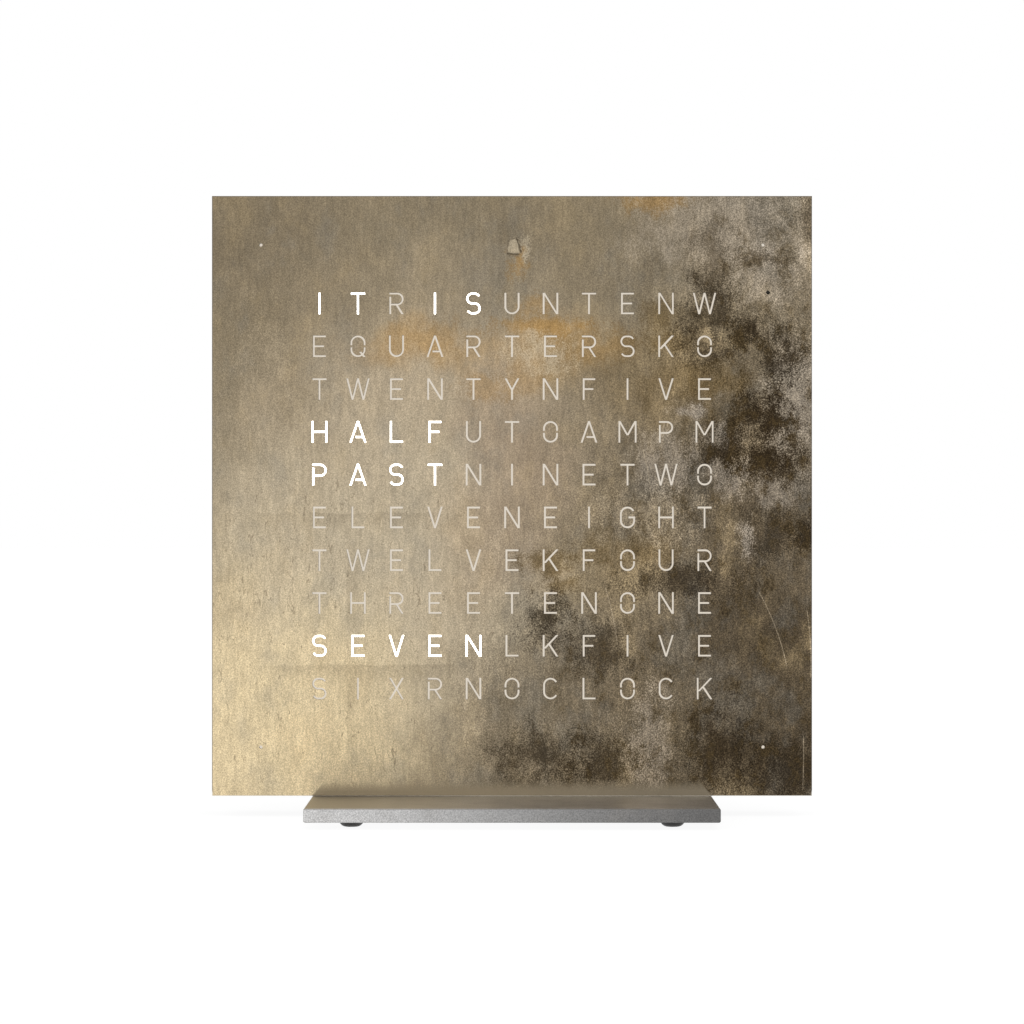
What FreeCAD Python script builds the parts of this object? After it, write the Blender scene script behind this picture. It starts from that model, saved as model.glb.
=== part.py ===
import FreeCAD, Part
import os
from math import cos, hypot, radians, sin

# A square desk clock that tells the time in lit words. A thin steel cover has the letters and four
# minute dots cut through it. Magnets hold it on a flat moulded housing, which stands on a square
# steel plate with four rubber feet. Behind the cover lie a white diffuser sheet, a light grid with
# one cell for each letter, and a board with one LED in each cell.
#
# Millimetres. +X is to the viewer's right, +Y to the back and +Z up. The origin is on the surface
# that the clock stands on, under the middle of the base plate. The face looks along -Y.

Vector = FreeCAD.Vector
TOUCH = 1e-6                     # two places closer than this are the same place

# Base plate and feet
BASE_WIDTH = 90.0
BASE_DEPTH = 90.0
BASE_THICKNESS = 3.0
BASE_CORNER_RADIUS = 0.5
BASE_EDGE_BREAK = 0.25
FOOT_HEIGHT = 1.6
FOOT_DIAMETER = 5.5
FOOT_FLAT_DIAMETER = 2.6         # the small flat that the dome rests on
FOOT_BULGE = 0.72                # share of the way from flat to rim, a third of the way up
FOOT_INSET = 10.0                # foot centre to the plate's edges

# Front cover
COVER_SIZE = 135.0
COVER_THICKNESS = 1.5
COVER_EDGE_BREAK = 0.12
COVER_LIFT = 0.04                # air under the cover, above the base plate
COVER_SEAT_GAP = 0.1             # paint and dust gap between the cover and the housing rim
STUD_DIAMETER = 3.0
STUD_LENGTH = 3.5
STUD_CHAMFER = 0.4
STUD_CLEARANCE = 0.3             # all round a locating stud in its hole

# Letters and dots
LAYOUT = (
    "ITRISUNTENW",
    "EQUARTERSKO",
    "TWENTYNFIVE",
    "HALFUTOAMPM",
    "PASTNINETWO",
    "ELEVENEIGHT",
    "TWELVEKFOUR",
    "THREETENONE",
    "SEVENLKFIVE",
    "SIXRNOCLOCK",
)
MATRIX_INSET = 24.15             # outermost letter centres to the cover's edges
CAP_HEIGHT = 4.86
STROKE = 0.42
BRIDGE = 0.45                    # uncut metal that holds the middle of a closed letter
DOT_INSET = 11.0                 # dot centres to the cover's edges
DOT_DIAMETER = 0.75
SENSOR_HOLE_DIAMETER = 0.9
SENSOR_DROP = 10.7               # light sensor below the upper right dot
SENSOR_SHIFT = 1.1               # light sensor out from the line through the dots
END_ANGLE = 28.0                 # where an open round letter ends, above or below level
WIDTH_SHARE = dict(              # letter widths as shares of the cap height
    A=0.78, C=0.68, E=0.60, F=0.58, G=0.70, H=0.72, I=0.10, K=0.72, L=0.60, M=0.84, N=0.72,
    O=0.69, P=0.66, Q=0.70, R=0.66, S=0.66, T=0.66, U=0.70, V=0.72, W=1.09, X=0.68, Y=0.68)

# Housing
COVER_OVERHANG = 1.0             # the cover stands out past the housing on each side
HOUSING_WALL = 2.0
HOUSING_CORNER_RADIUS = 3.0
INSIDE_CORNER_RADIUS = 1.0       # of the housing's inside and of what lies in it
HOUSING_EDGE_RADIUS = 0.8        # round on the housing's back edges
REAR_WALL = 2.0
PAD_INSET = 5.0                  # ends of the pad under the housing to the base plate's edges
PAD_SET_IN = 1.5                 # pad to the housing's front and back
BOSS_WALL = 1.2                  # plastic round an insert, magnet or hole

# Diffuser, light grid and board
DIFFUSER_SETBACK = 0.4           # cover back to diffuser
DIFFUSER_THICKNESS = 0.5
GRID_DEPTH = 5.6
GRID_WEB = 1.0                   # wall between two light cells
GRID_RIM = 1.6                   # wall round the grid and round the block of cells
GRID_SKIN = 1.2                  # front skin of the grid's border
GRID_CLEARANCE = 0.3             # grid and diffuser to the housing wall
BOARD_CLEARANCE = 0.5
BOARD_THICKNESS = 1.6
ROOM_BEHIND_BOARD = 6.4          # for the chips, the cell, the buzzer and the buttons
LAMP_CLEARANCE = 0.3             # round the corners of an LED or sensor in its round well
SENSOR_SHEET_HOLE = 1.6

# LEDs and light sensor
LED_WIDTH = 3.5
LED_DEPTH = 2.8
LED_HEIGHT = 1.9
LED_WINDOW_DIAMETER = 2.3
LED_WINDOW_SINK = 0.3
SENSOR_WIDTH = 1.2
SENSOR_LENGTH = 2.0
SENSOR_HEIGHT = 0.8

# Magnets
MAGNET_DIAMETER = 8.0
MAGNET_THICKNESS = 3.0
MAGNET_GAP = 0.3                 # magnet face to cover
MAGNET_CLEARANCE = 0.1
MAGNET_DROP = 24.5               # magnets to the dots above or below them

# Screws and brass inserts
FRAME_SCREW_DIAMETER = 2.5
FRAME_SCREW_LENGTH = 10.0
FRAME_HEAD_DIAMETER = 4.5
FRAME_HEAD_HEIGHT = 1.6
FRAME_HEAD_SINK = 0.4            # top of the head below the front of the grid
FRAME_SCREW_INSET = 16.5         # outermost screws to the dots beside them
FRAME_SCREW_COLUMNS = 3
FRAME_INSERT_DIAMETER = 4.0
FRAME_INSERT_LENGTH = 5.0
BASE_SCREW_DIAMETER = 3.0
BASE_SCREW_LENGTH = 8.0
BASE_HEAD_DIAMETER = 5.6
BASE_SCREW_INSET = 15.0          # screws to the base plate's side edges
BASE_INSERT_DIAMETER = 4.2
BASE_INSERT_LENGTH = 5.0
THREAD_CLEARANCE = 0.05          # screw to insert, all round
SHANK_CLEARANCE = 0.2            # screw to a plain hole, all round
HEAD_CLEARANCE = 0.3
END_CLEARANCE = 0.3              # at the blind end of a hole, and over a part that ends in one
DRIVE_WIDTH = 0.6                # cross drive in a screw head
DRIVE_SHARE = 0.6                # drive length as a share of the head
DRIVE_DEPTH = 0.8

# Push buttons and their switches
BUTTON_NAMES = ("hour_button", "minute_button", "mode_button")
BUTTON_SPACING = 13.0
BUTTON_INSET = 31.0              # middle button to the board's side edge
BUTTON_LIFT = 40.0               # buttons above the board's bottom edge
BUTTON_DIAMETER = 6.0
BUTTON_PROUD = 0.9
BUTTON_EDGE_RADIUS = 0.4
BUTTON_CLEARANCE = 0.3
BUTTON_TRAVEL = 0.5
FLANGE_DIAMETER = 8.0
FLANGE_THICKNESS = 1.0
FLANGE_GAP = 0.1
STEM_DIAMETER = 3.2
STEM_CLEARANCE = 0.3
SWITCH_SIZE = 6.0
SWITCH_HEIGHT = 3.4
SWITCH_FLOOR = 0.6
DOME_RISE = 0.5
DOME_THICKNESS = 0.15
DOME_GAP = 0.05                  # between a pressed stem and its dome

# Power socket
SOCKET_LIFT = 19.0               # above the board's bottom edge
SOCKET_WIDTH = 9.0
SOCKET_HEIGHT = 3.4
SOCKET_WALL = 0.35
SOCKET_SINK = 0.4                # socket mouth below the housing's back
SOCKET_CLEARANCE = 0.3
TONGUE_WIDTH = 6.4
TONGUE_THICKNESS = 0.8
TONGUE_SINK = 1.0
TONGUE_BASE = 1.5

# Buzzer and its sound holes
BUZZER_INSET = 31.0              # to the board's side edge
BUZZER_LIFT = 40.0               # above the board's bottom edge
BUZZER_DIAMETER = 12.0
BUZZER_HEIGHT = 5.0
BUZZER_HOLE_DIAMETER = 2.0
BUZZER_CUP = 1.0                 # thickness of the buzzer's end
BUZZER_EDGE_RADIUS = 0.4
SOUND_HOLE_DIAMETER = 1.5
SOUND_HOLE_COUNT = 6
SOUND_RING_RADIUS = 3.2

# Back-up cell
CELL_INSET = 31.0                # to the board's side edge
CELL_DROP = 46.0                 # below the board's top edge
CELL_DIAMETER = 20.0
CELL_THICKNESS = 3.2
CELL_CLEARANCE = 0.2
HOLDER_WALL = 1.4
HOLDER_FLOOR = 0.8
CLIP_WIDTH = 6.0
CLIP_THICKNESS = 0.3

# Chips and small parts on the back of the board
CONTROLLER_SIZE = 10.0
CONTROLLER_HEIGHT = 1.4
CONTROLLER_DROP = 42.0           # below the board's top edge
LEG_WIDTH = 0.4
LEG_REACH = 1.0
LEG_THICKNESS = 0.25
LEG_PITCH = 0.8
CONTROLLER_LEGS = 11             # along each side
DRIVER_LENGTH = 15.4
DRIVER_WIDTH = 7.5
DRIVER_HEIGHT = 2.4
DRIVER_PITCH = 1.27
DRIVER_LEGS = 12
DRIVER_COUNT = 4
DRIVER_DROP = 22.0               # below the board's top edge
CRYSTAL_LENGTH = 11.0
CRYSTAL_WIDTH = 4.6
CRYSTAL_HEIGHT = 3.5
CRYSTAL_CORNER_RADIUS = 1.6
CRYSTAL_GAP = 6.0                # from the controller
REGULATOR_WIDTH = 6.5
REGULATOR_DEPTH = 3.5
REGULATOR_HEIGHT = 1.7
REGULATOR_X = 16.0
REGULATOR_LEGS = 3
REGULATOR_PITCH = 2.3
CAPACITOR_DIAMETER = 5.0
CAPACITOR_HEIGHT = 5.4
CAPACITOR_COUNT = 3
CAPACITOR_SPACING = 8.0
CAPACITOR_X = -16.0
RESISTOR_LENGTH = 2.0
RESISTOR_WIDTH = 1.25
RESISTOR_HEIGHT = 0.5
RESISTORS_PER_COLUMN = 2
RESISTOR_DROP = 4.0              # below the middle of the board

# Heights, from the surface up
base_bottom = FOOT_HEIGHT
base_top = base_bottom + BASE_THICKNESS
cover_bottom = base_top + COVER_LIFT
face_middle = cover_bottom + COVER_SIZE / 2
housing_size = COVER_SIZE - 2 * COVER_OVERHANG
inside_size = housing_size - 2 * HOUSING_WALL
inside_bottom = face_middle - inside_size / 2

# Depths, from the front back
grid_depth_from_cover = DIFFUSER_SETBACK + DIFFUSER_THICKNESS + GRID_DEPTH
body_depth = COVER_THICKNESS + grid_depth_from_cover + BOARD_THICKNESS + ROOM_BEHIND_BOARD + REAR_WALL
face_front = -body_depth / 2
cover_back = face_front + COVER_THICKNESS
housing_front = cover_back + COVER_SEAT_GAP
diffuser_front = cover_back + DIFFUSER_SETBACK
grid_front = diffuser_front + DIFFUSER_THICKNESS
board_front = grid_front + GRID_DEPTH
board_back = board_front + BOARD_THICKNESS
rear_wall_front = board_back + ROOM_BEHIND_BOARD
housing_back = rear_wall_front + REAR_WALL
frame_head_seat = grid_front + FRAME_HEAD_SINK + FRAME_HEAD_HEIGHT
frame_screw_tip = frame_head_seat + FRAME_SCREW_LENGTH

# Letter grid
rows = len(LAYOUT)
columns = len(LAYOUT[0])
matrix_span = COVER_SIZE - 2 * MATRIX_INSET
column_pitch = matrix_span / (columns - 1)
row_pitch = matrix_span / (rows - 1)
grid_size = inside_size - 2 * GRID_CLEARANCE
board_size = inside_size - 2 * BOARD_CLEARANCE
board_edge = board_size / 2
border = COVER_SIZE / 2 - DOT_INSET      # the line through the dots and the border's other pieces
dot_well_diameter = hypot(LED_WIDTH, LED_DEPTH) + 2 * LAMP_CLEARANCE
sensor_well_diameter = hypot(SENSOR_WIDTH, SENSOR_LENGTH) + 2 * LAMP_CLEARANCE

# Places on the face, as (x, height above the middle of the face)
cell_places = [
    ((column - (columns - 1) / 2) * column_pitch, ((rows - 1) / 2 - row) * row_pitch)
    for row in range(rows) for column in range(columns)]
dot_places = [(x, rise) for x in (-border, border) for rise in (-border, border)]
magnet_rise = border - MAGNET_DROP
magnet_places = [(x, rise) for x in (-border, border) for rise in (-magnet_rise, magnet_rise)]
stud_places = [(-border, 0.0), (border, 0.0)]
sensor_place = (border + SENSOR_SHIFT, border - SENSOR_DROP)
frame_screw_spacing = 2 * (border - FRAME_SCREW_INSET) / (FRAME_SCREW_COLUMNS - 1)
frame_screw_places = [
    ((index - (FRAME_SCREW_COLUMNS - 1) / 2) * frame_screw_spacing, rise)
    for rise in (-border, border) for index in range(FRAME_SCREW_COLUMNS)]
button_places = [
    (BUTTON_INSET - board_edge + (index - (len(BUTTON_NAMES) - 1) / 2) * BUTTON_SPACING,
     BUTTON_LIFT - board_edge)
    for index in range(len(BUTTON_NAMES))]
buzzer_place = (board_edge - BUZZER_INSET, BUZZER_LIFT - board_edge)
cell_place = (board_edge - CELL_INSET, board_edge - CELL_DROP)
controller_rise = board_edge - CONTROLLER_DROP
socket_rise = SOCKET_LIFT - board_edge

# Places on the base plate, as (x, y)
foot_places = [
    (x, y)
    for x in (FOOT_INSET - BASE_WIDTH / 2, BASE_WIDTH / 2 - FOOT_INSET)
    for y in (FOOT_INSET - BASE_DEPTH / 2, BASE_DEPTH / 2 - FOOT_INSET)]
base_boss_front = board_back + BOARD_CLEARANCE
base_screw_x = BASE_WIDTH / 2 - BASE_SCREW_INSET
base_screw_y = (base_boss_front + rear_wall_front) / 2
base_screw_places = [(-base_screw_x, base_screw_y), (base_screw_x, base_screw_y)]
base_screw_tip = base_bottom + BASE_SCREW_LENGTH
base_insert_bottom = base_top + COVER_LIFT
base_insert_top = base_insert_bottom + BASE_INSERT_LENGTH


# ---------------------------------------------------------------- simple shapes

def block(x0, x1, y0, y1, z0, z1):
    """A box between two corners."""
    return Part.makeBox(x1 - x0, y1 - y0, z1 - z0, Vector(x0, y0, z0))


def centred_block(place, width, height, y0, y1):
    """A box on a place of the face, from one depth to another."""
    x, rise = place
    z = face_middle + rise
    return block(x - width / 2, x + width / 2, y0, y1, z - height / 2, z + height / 2)


def rod(place, diameter, y0, y1):
    """A cylinder along the depth, on a place of the face."""
    x, rise = place
    start = Vector(x, y0, face_middle + rise)
    return Part.makeCylinder(diameter / 2, y1 - y0, start, Vector(0, 1, 0))


def post(place, diameter, z0, z1):
    """An upright cylinder on a place of the base plate."""
    x, y = place
    return Part.makeCylinder(diameter / 2, z1 - z0, Vector(x, y, z0))


def edges_where(shape, wanted):
    """The edges whose ends both pass the test."""
    return [edge for edge in shape.Edges if all(wanted(end.Point) for end in edge.Vertexes)]


def edges_along(shape, direction):
    """The straight edges that run along a direction."""
    found = []
    for edge in shape.Edges:
        ends = [end.Point for end in edge.Vertexes]
        if len(ends) == 2 and (ends[1] - ends[0]).cross(direction).Length < TOUCH:
            found.append(edge)
    return found


def rounded_square(size, radius, y0, y1):
    """A square block centred on the face, with its four corners rounded."""
    square = centred_block((0, 0), size, size, y0, y1)
    return square.makeFillet(radius, edges_along(square, Vector(0, 1, 0)))


def group(shapes):
    """Separate solids that share a node."""
    return Part.makeCompound(shapes)


def cross_drive(middle, axis, head_diameter):
    """Two crossed bars that cut a drive into a screw head, from its top inward along axis."""
    reach = head_diameter * DRIVE_SHARE / 2
    half = DRIVE_WIDTH / 2
    bars = [
        Part.makeBox(2 * reach, DRIVE_WIDTH, DRIVE_DEPTH, Vector(-reach, -half, 0)),
        Part.makeBox(DRIVE_WIDTH, 2 * reach, DRIVE_DEPTH, Vector(-half, -reach, 0))]
    cross = bars[0].fuse(bars[1])
    cross.Placement = FreeCAD.Placement(middle, FreeCAD.Rotation(Vector(0, 0, 1), axis))
    return cross


# ---------------------------------------------------------------- letters
# Each letter is a set of straight, sloping and curved cuts about its own middle, in the XZ plane.
# A letter with a closed middle is broken by a bridge, so that the middle stays on the sheet.

def prism(edges):
    """A cutting tool: a flat outline carried through the cover and past both its faces."""
    outline = Part.Face(Part.Wire(edges))
    outline.translate(Vector(0, face_front - COVER_THICKNESS, 0))
    return outline.extrude(Vector(0, 3 * COVER_THICKNESS, 0))


def straight_sided(points):
    """A cutting tool with straight sides through the points."""
    corners = [Vector(x, 0, z) for x, z in points]
    return prism(Part.makePolygon(corners + corners[:1]).Edges)


def bar(x0, z0, x1, z1):
    """A straight cut with square ends."""
    length = hypot(x1 - x0, z1 - z0)
    side_x = (z0 - z1) / length * STROKE / 2
    side_z = (x1 - x0) / length * STROKE / 2
    return straight_sided([
        (x0 + side_x, z0 + side_z), (x1 + side_x, z1 + side_z),
        (x1 - side_x, z1 - side_z), (x0 - side_x, z0 - side_z)])


def level_half(run, rise):
    """Half the level width of a sloping stroke."""
    return STROKE / 2 * hypot(run, rise) / abs(rise)


def slant(x0, z0, x1, z1):
    """A sloping cut whose two ends are level."""
    half = level_half(x1 - x0, z1 - z0)
    return straight_sided([(x0 - half, z0), (x0 + half, z0), (x1 + half, z1), (x1 - half, z1)])


def bend(x, z, radius, start, end):
    """A curved cut about (x, z), anticlockwise from one angle to another, in degrees."""
    def on_rim(rim, angle):
        return Vector(x + rim * cos(radians(angle)), 0, z + rim * sin(radians(angle)))
    outer = radius + STROKE / 2
    inner = radius - STROKE / 2
    halfway = (start + end) / 2
    return prism([
        Part.Arc(on_rim(outer, start), on_rim(outer, halfway), on_rim(outer, end)).toShape(),
        Part.makeLine(on_rim(outer, end), on_rim(inner, end)),
        Part.Arc(on_rim(inner, end), on_rim(inner, halfway), on_rim(inner, start)).toShape(),
        Part.makeLine(on_rim(inner, start), on_rim(outer, start))])


def stem(x):
    """A full-height upright."""
    return bar(x, -CAP_HEIGHT / 2, x, CAP_HEIGHT / 2)


def open_round(side, turn):
    """The left side and the two curves that C and G share."""
    return [
        bend(0, turn, side, END_ANGLE, 180),
        bar(-side, -turn, -side, turn)]


def closed_round(side, turn):
    """An upright ring with a bridge across each side, as in O and Q."""
    gap = BRIDGE / 2
    return [
        bend(0, turn, side, 0, 180), bend(0, -turn, side, 180, 360),
        bar(-side, gap, -side, turn), bar(-side, -turn, -side, -gap),
        bar(side, gap, side, turn), bar(side, -turn, side, -gap)]


def bowl(edge, side, top, waist):
    """The stem and closed bowl that P and R share, with a bridge at the top of the stem."""
    radius = (top - waist) / 2
    bottom = -CAP_HEIGHT / 2
    return [
        bar(-side, bottom, -side, top - STROKE / 2 - BRIDGE),
        bar(-edge, top, side - radius, top),
        bend(side - radius, (top + waist) / 2, radius, -90, 90),
        bar(-side, waist, side - radius, waist)]


def letter_strokes(letter):
    """The cuts of one letter about its own middle."""
    top_edge = CAP_HEIGHT / 2
    bottom_edge = -top_edge
    edge = WIDTH_SHARE[letter] * CAP_HEIGHT / 2      # outer half width
    side = edge - STROKE / 2                         # middle of the outermost upright
    top = top_edge - STROKE / 2                      # middle of the topmost level stroke
    turn = top_edge - edge                           # centre height of a full round end
    lean = edge - level_half(edge, CAP_HEIGHT)       # middle of a sloping stroke's outer end
    waist = -0.05 * CAP_HEIGHT                       # middle of a lower bowl line
    small = top / 2                                  # radius of the turns of an S

    if letter == "A":
        bar_height = -0.24 * CAP_HEIGHT
        reach = lean * (top_edge - bar_height) / CAP_HEIGHT
        start = -reach + level_half(lean, CAP_HEIGHT) + BRIDGE
        return [
            slant(-lean, bottom_edge, 0, top_edge), slant(lean, bottom_edge, 0, top_edge),
            bar(start, bar_height, reach, bar_height)]
    if letter == "C":
        return open_round(side, turn) + [bend(0, -turn, side, 180, 360 - END_ANGLE)]
    if letter == "E":
        return [
            stem(-side), bar(-side, top, edge, top), bar(-side, -top, edge, -top),
            bar(-side, 0, edge - STROKE, 0)]
    if letter == "F":
        return [stem(-side), bar(-side, top, edge, top), bar(-side, 0, edge - STROKE, 0)]
    if letter == "G":
        return open_round(side, turn) + [
            bend(0, -turn, side, 180, 360), bar(side, -turn, side, 0),
            bar(STROKE / 2, 0, edge, 0)]
    if letter == "H":
        return [stem(-side), stem(side), bar(-side, 0, side, 0)]
    if letter == "I":
        return [stem(0)]
    if letter == "K":
        crotch = 0.34                                # share of the arm at which the leg leaves it
        foot = -0.13 * CAP_HEIGHT
        start_x = -side + STROKE / 2
        arm_x = start_x + crotch * (lean - start_x)
        arm_z = foot + crotch * (top_edge - foot)
        return [
            stem(-side), slant(start_x, foot, lean, top_edge),
            slant(arm_x, arm_z, lean, bottom_edge)]
    if letter == "L":
        return [stem(-side), bar(-side, -top, edge, -top)]
    if letter == "M":
        dip = -0.16 * CAP_HEIGHT
        corner = edge - level_half(side, top_edge - dip)
        return [
            stem(-side), stem(side),
            slant(-corner, top_edge, 0, dip), slant(corner, top_edge, 0, dip)]
    if letter == "N":
        corner = edge - level_half(2 * side, CAP_HEIGHT)
        return [stem(-side), stem(side), slant(-corner, top_edge, corner, bottom_edge)]
    if letter == "O":
        return closed_round(side, turn)
    if letter == "P":
        return bowl(edge, side, top, waist)
    if letter == "Q":
        return closed_round(side, turn) + [slant(side / 3, bottom_edge / 2, lean, bottom_edge)]
    if letter == "R":
        return bowl(edge, side, top, waist) + [slant(0, waist, lean, bottom_edge)]
    if letter == "S":
        flat = side - small
        return [
            bend(flat, small, small, END_ANGLE, 90), bar(-flat, top, flat, top),
            bend(-flat, small, small, 90, 270), bar(-flat, 0, flat, 0),
            bend(flat, -small, small, -90, 90), bar(-flat, -top, flat, -top),
            bend(-flat, -small, small, 180 + END_ANGLE, 270)]
    if letter == "T":
        return [stem(0), bar(-edge, top, edge, top)]
    if letter == "U":
        return [
            bar(-side, -turn, -side, top_edge), bar(side, -turn, side, top_edge),
            bend(0, -turn, side, 180, 360)]
    if letter == "V":
        return [slant(-lean, top_edge, 0, bottom_edge), slant(lean, top_edge, 0, bottom_edge)]
    if letter == "W":
        outer = edge - level_half(edge / 2, CAP_HEIGHT)
        return [
            slant(-outer, top_edge, -outer / 2, bottom_edge),
            slant(-outer / 2, bottom_edge, 0, top_edge),
            slant(0, top_edge, outer / 2, bottom_edge),
            slant(outer / 2, bottom_edge, outer, top_edge)]
    if letter == "X":
        return [
            slant(-lean, bottom_edge, lean, top_edge), slant(-lean, top_edge, lean, bottom_edge)]
    if letter == "Y":
        fork = -STROKE / 2
        return [
            slant(-lean, top_edge, 0, fork), slant(lean, top_edge, 0, fork),
            bar(0, bottom_edge, 0, STROKE / 2)]
    raise ValueError("no strokes for the letter " + letter)


def letter_tool(letter):
    """One letter as a single cutting tool."""
    strokes = letter_strokes(letter)
    if len(strokes) == 1:
        return strokes[0]
    return strokes[0].fuse(strokes[1:]).removeSplitter()


def letter_cuts():
    """All the letters, each on its own place of the face."""
    text = "".join(LAYOUT)
    tools = {letter: letter_tool(letter) for letter in sorted(set(text))}
    cuts = []
    for letter, (x, rise) in zip(text, cell_places):
        cut = tools[letter].copy()
        cut.translate(Vector(x, 0, face_middle + rise))
        cuts.append(cut)
    return cuts


# ---------------------------------------------------------------- stand

def base_plate():
    """Square steel plate with two countersunk screw holes."""
    half_width = BASE_WIDTH / 2
    half_depth = BASE_DEPTH / 2
    plate = block(-half_width, half_width, -half_depth, half_depth, base_bottom, base_top)
    plate = plate.makeFillet(BASE_CORNER_RADIUS, edges_along(plate, Vector(0, 0, 1)))
    for height in (base_top, base_bottom):
        rim = edges_where(plate, lambda end: abs(end.z - height) < TOUCH)
        plate = plate.makeChamfer(BASE_EDGE_BREAK, rim)
    hole = BASE_SCREW_DIAMETER + 2 * SHANK_CLEARANCE
    for place in base_screw_places:
        plate = plate.cut(post(place, hole, base_bottom, base_top))
        plate = plate.cut(countersink(place, SHANK_CLEARANCE))
    return plate


def countersink(place, clearance):
    """A cone of the screw head's size, widened by the clearance."""
    wide = BASE_HEAD_DIAMETER / 2 + clearance
    narrow = BASE_SCREW_DIAMETER / 2 + clearance
    return Part.makeCone(wide, narrow, wide - narrow, Vector(*place, base_bottom))


def base_feet():
    """Four rubber domes, each with a small flat to rest on."""
    flat = FOOT_FLAT_DIAMETER / 2
    rim = FOOT_DIAMETER / 2
    swell = flat + (rim - flat) * FOOT_BULGE
    bottom = Vector(flat, 0, 0)
    bulge = Vector(swell, 0, FOOT_HEIGHT / 3)
    top = Vector(rim, 0, FOOT_HEIGHT)
    profile = [
        Part.makeLine(Vector(0, 0, 0), bottom),
        Part.Arc(bottom, bulge, top).toShape(),
        Part.makeLine(top, Vector(0, 0, FOOT_HEIGHT)),
        Part.makeLine(Vector(0, 0, FOOT_HEIGHT), Vector(0, 0, 0))]
    dome = Part.Face(Part.Wire(profile)).revolve(Vector(0, 0, 0), Vector(0, 0, 1), 360)
    return group([dome.translated(Vector(*place, 0)) for place in foot_places])


def base_screws():
    """Countersunk screws that come up through the base plate."""
    screws = []
    for place in base_screw_places:
        screw = post(place, BASE_SCREW_DIAMETER, base_bottom, base_screw_tip)
        screw = screw.fuse(countersink(place, 0))
        drive = cross_drive(Vector(*place, base_bottom), Vector(0, 0, 1), BASE_HEAD_DIAMETER)
        screws.append(screw.cut(drive))
    return group(screws)


def base_inserts():
    """Threaded brass inserts in the bottom of the housing."""
    bore = BASE_SCREW_DIAMETER + 2 * THREAD_CLEARANCE
    inserts = []
    for place in base_screw_places:
        sleeve = post(place, BASE_INSERT_DIAMETER, base_insert_bottom, base_insert_top)
        inserts.append(sleeve.cut(post(place, bore, base_insert_bottom, base_insert_top)))
    return group(inserts)


# ---------------------------------------------------------------- front cover

def front_cover():
    """Steel sheet with the letters, the dots and the light sensor's hole cut through it."""
    sheet = centred_block((0, 0), COVER_SIZE, COVER_SIZE, face_front, cover_back)
    rim = edges_where(sheet, lambda end: abs(end.y - face_front) < TOUCH)
    sheet = sheet.makeChamfer(COVER_EDGE_BREAK, rim)
    before = face_front - COVER_THICKNESS
    beyond = cover_back + COVER_THICKNESS
    cuts = letter_cuts()
    cuts += [rod(place, DOT_DIAMETER, before, beyond) for place in dot_places]
    cuts.append(rod(sensor_place, SENSOR_HOLE_DIAMETER, before, beyond))
    return sheet.cut(cuts)


def cover_studs():
    """Two studs welded to the back of the cover that place it on the light grid."""
    studs = []
    for place in stud_places:
        stud = rod(place, STUD_DIAMETER, cover_back, cover_back + STUD_LENGTH)
        tip = edges_where(stud, lambda end: end.y > cover_back + STUD_LENGTH / 2)
        studs.append(stud.makeChamfer(STUD_CHAMFER, tip))
    return group(studs)


def cover_magnets():
    """Disc magnets in the grid's pockets, which hold the cover on."""
    front = cover_back + MAGNET_GAP
    back = front + MAGNET_THICKNESS
    return group([rod(place, MAGNET_DIAMETER, front, back) for place in magnet_places])


# ---------------------------------------------------------------- housing

def screw_boss(place):
    """A boss on the rear wall that the board is screwed down on."""
    return rod(place, FRAME_INSERT_DIAMETER + 2 * BOSS_WALL, board_back, rear_wall_front)


def base_boss(place):
    """A block at the bottom of the housing that holds a base screw's insert."""
    x, _ = place
    half = BASE_INSERT_DIAMETER / 2 + BOSS_WALL
    top = max(base_insert_top, base_screw_tip) + END_CLEARANCE + BOSS_WALL
    return block(x - half, x + half, base_boss_front, rear_wall_front, inside_bottom, top)


def standing_pad():
    """The flat pad under the housing that stands on the base plate."""
    bottom_wall = face_middle - housing_size / 2 + HOUSING_WALL / 2
    end = BASE_WIDTH / 2 - PAD_INSET
    return block(
        -end, end, housing_front + PAD_SET_IN, housing_back - PAD_SET_IN, base_top, bottom_wall)


def sound_holes():
    """One hole in the middle of the buzzer's place and a ring of holes round it."""
    x, rise = buzzer_place
    places = [buzzer_place]
    for index in range(SOUND_HOLE_COUNT):
        angle = radians(360 * index / SOUND_HOLE_COUNT)
        places.append((x + SOUND_RING_RADIUS * cos(angle), rise + SOUND_RING_RADIUS * sin(angle)))
    return [rod(place, SOUND_HOLE_DIAMETER, rear_wall_front, housing_back) for place in places]


def socket_outline(clearance, y0, y1):
    """A slot with round ends, of the power socket's outer size widened by the clearance."""
    width = SOCKET_WIDTH + 2 * clearance
    height = SOCKET_HEIGHT + 2 * clearance
    straight = width - height
    slot = centred_block((0, socket_rise), straight, height, y0, y1)
    ends = [rod((x, socket_rise), height, y0, y1) for x in (-straight / 2, straight / 2)]
    return slot.fuse(ends).removeSplitter()


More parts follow.
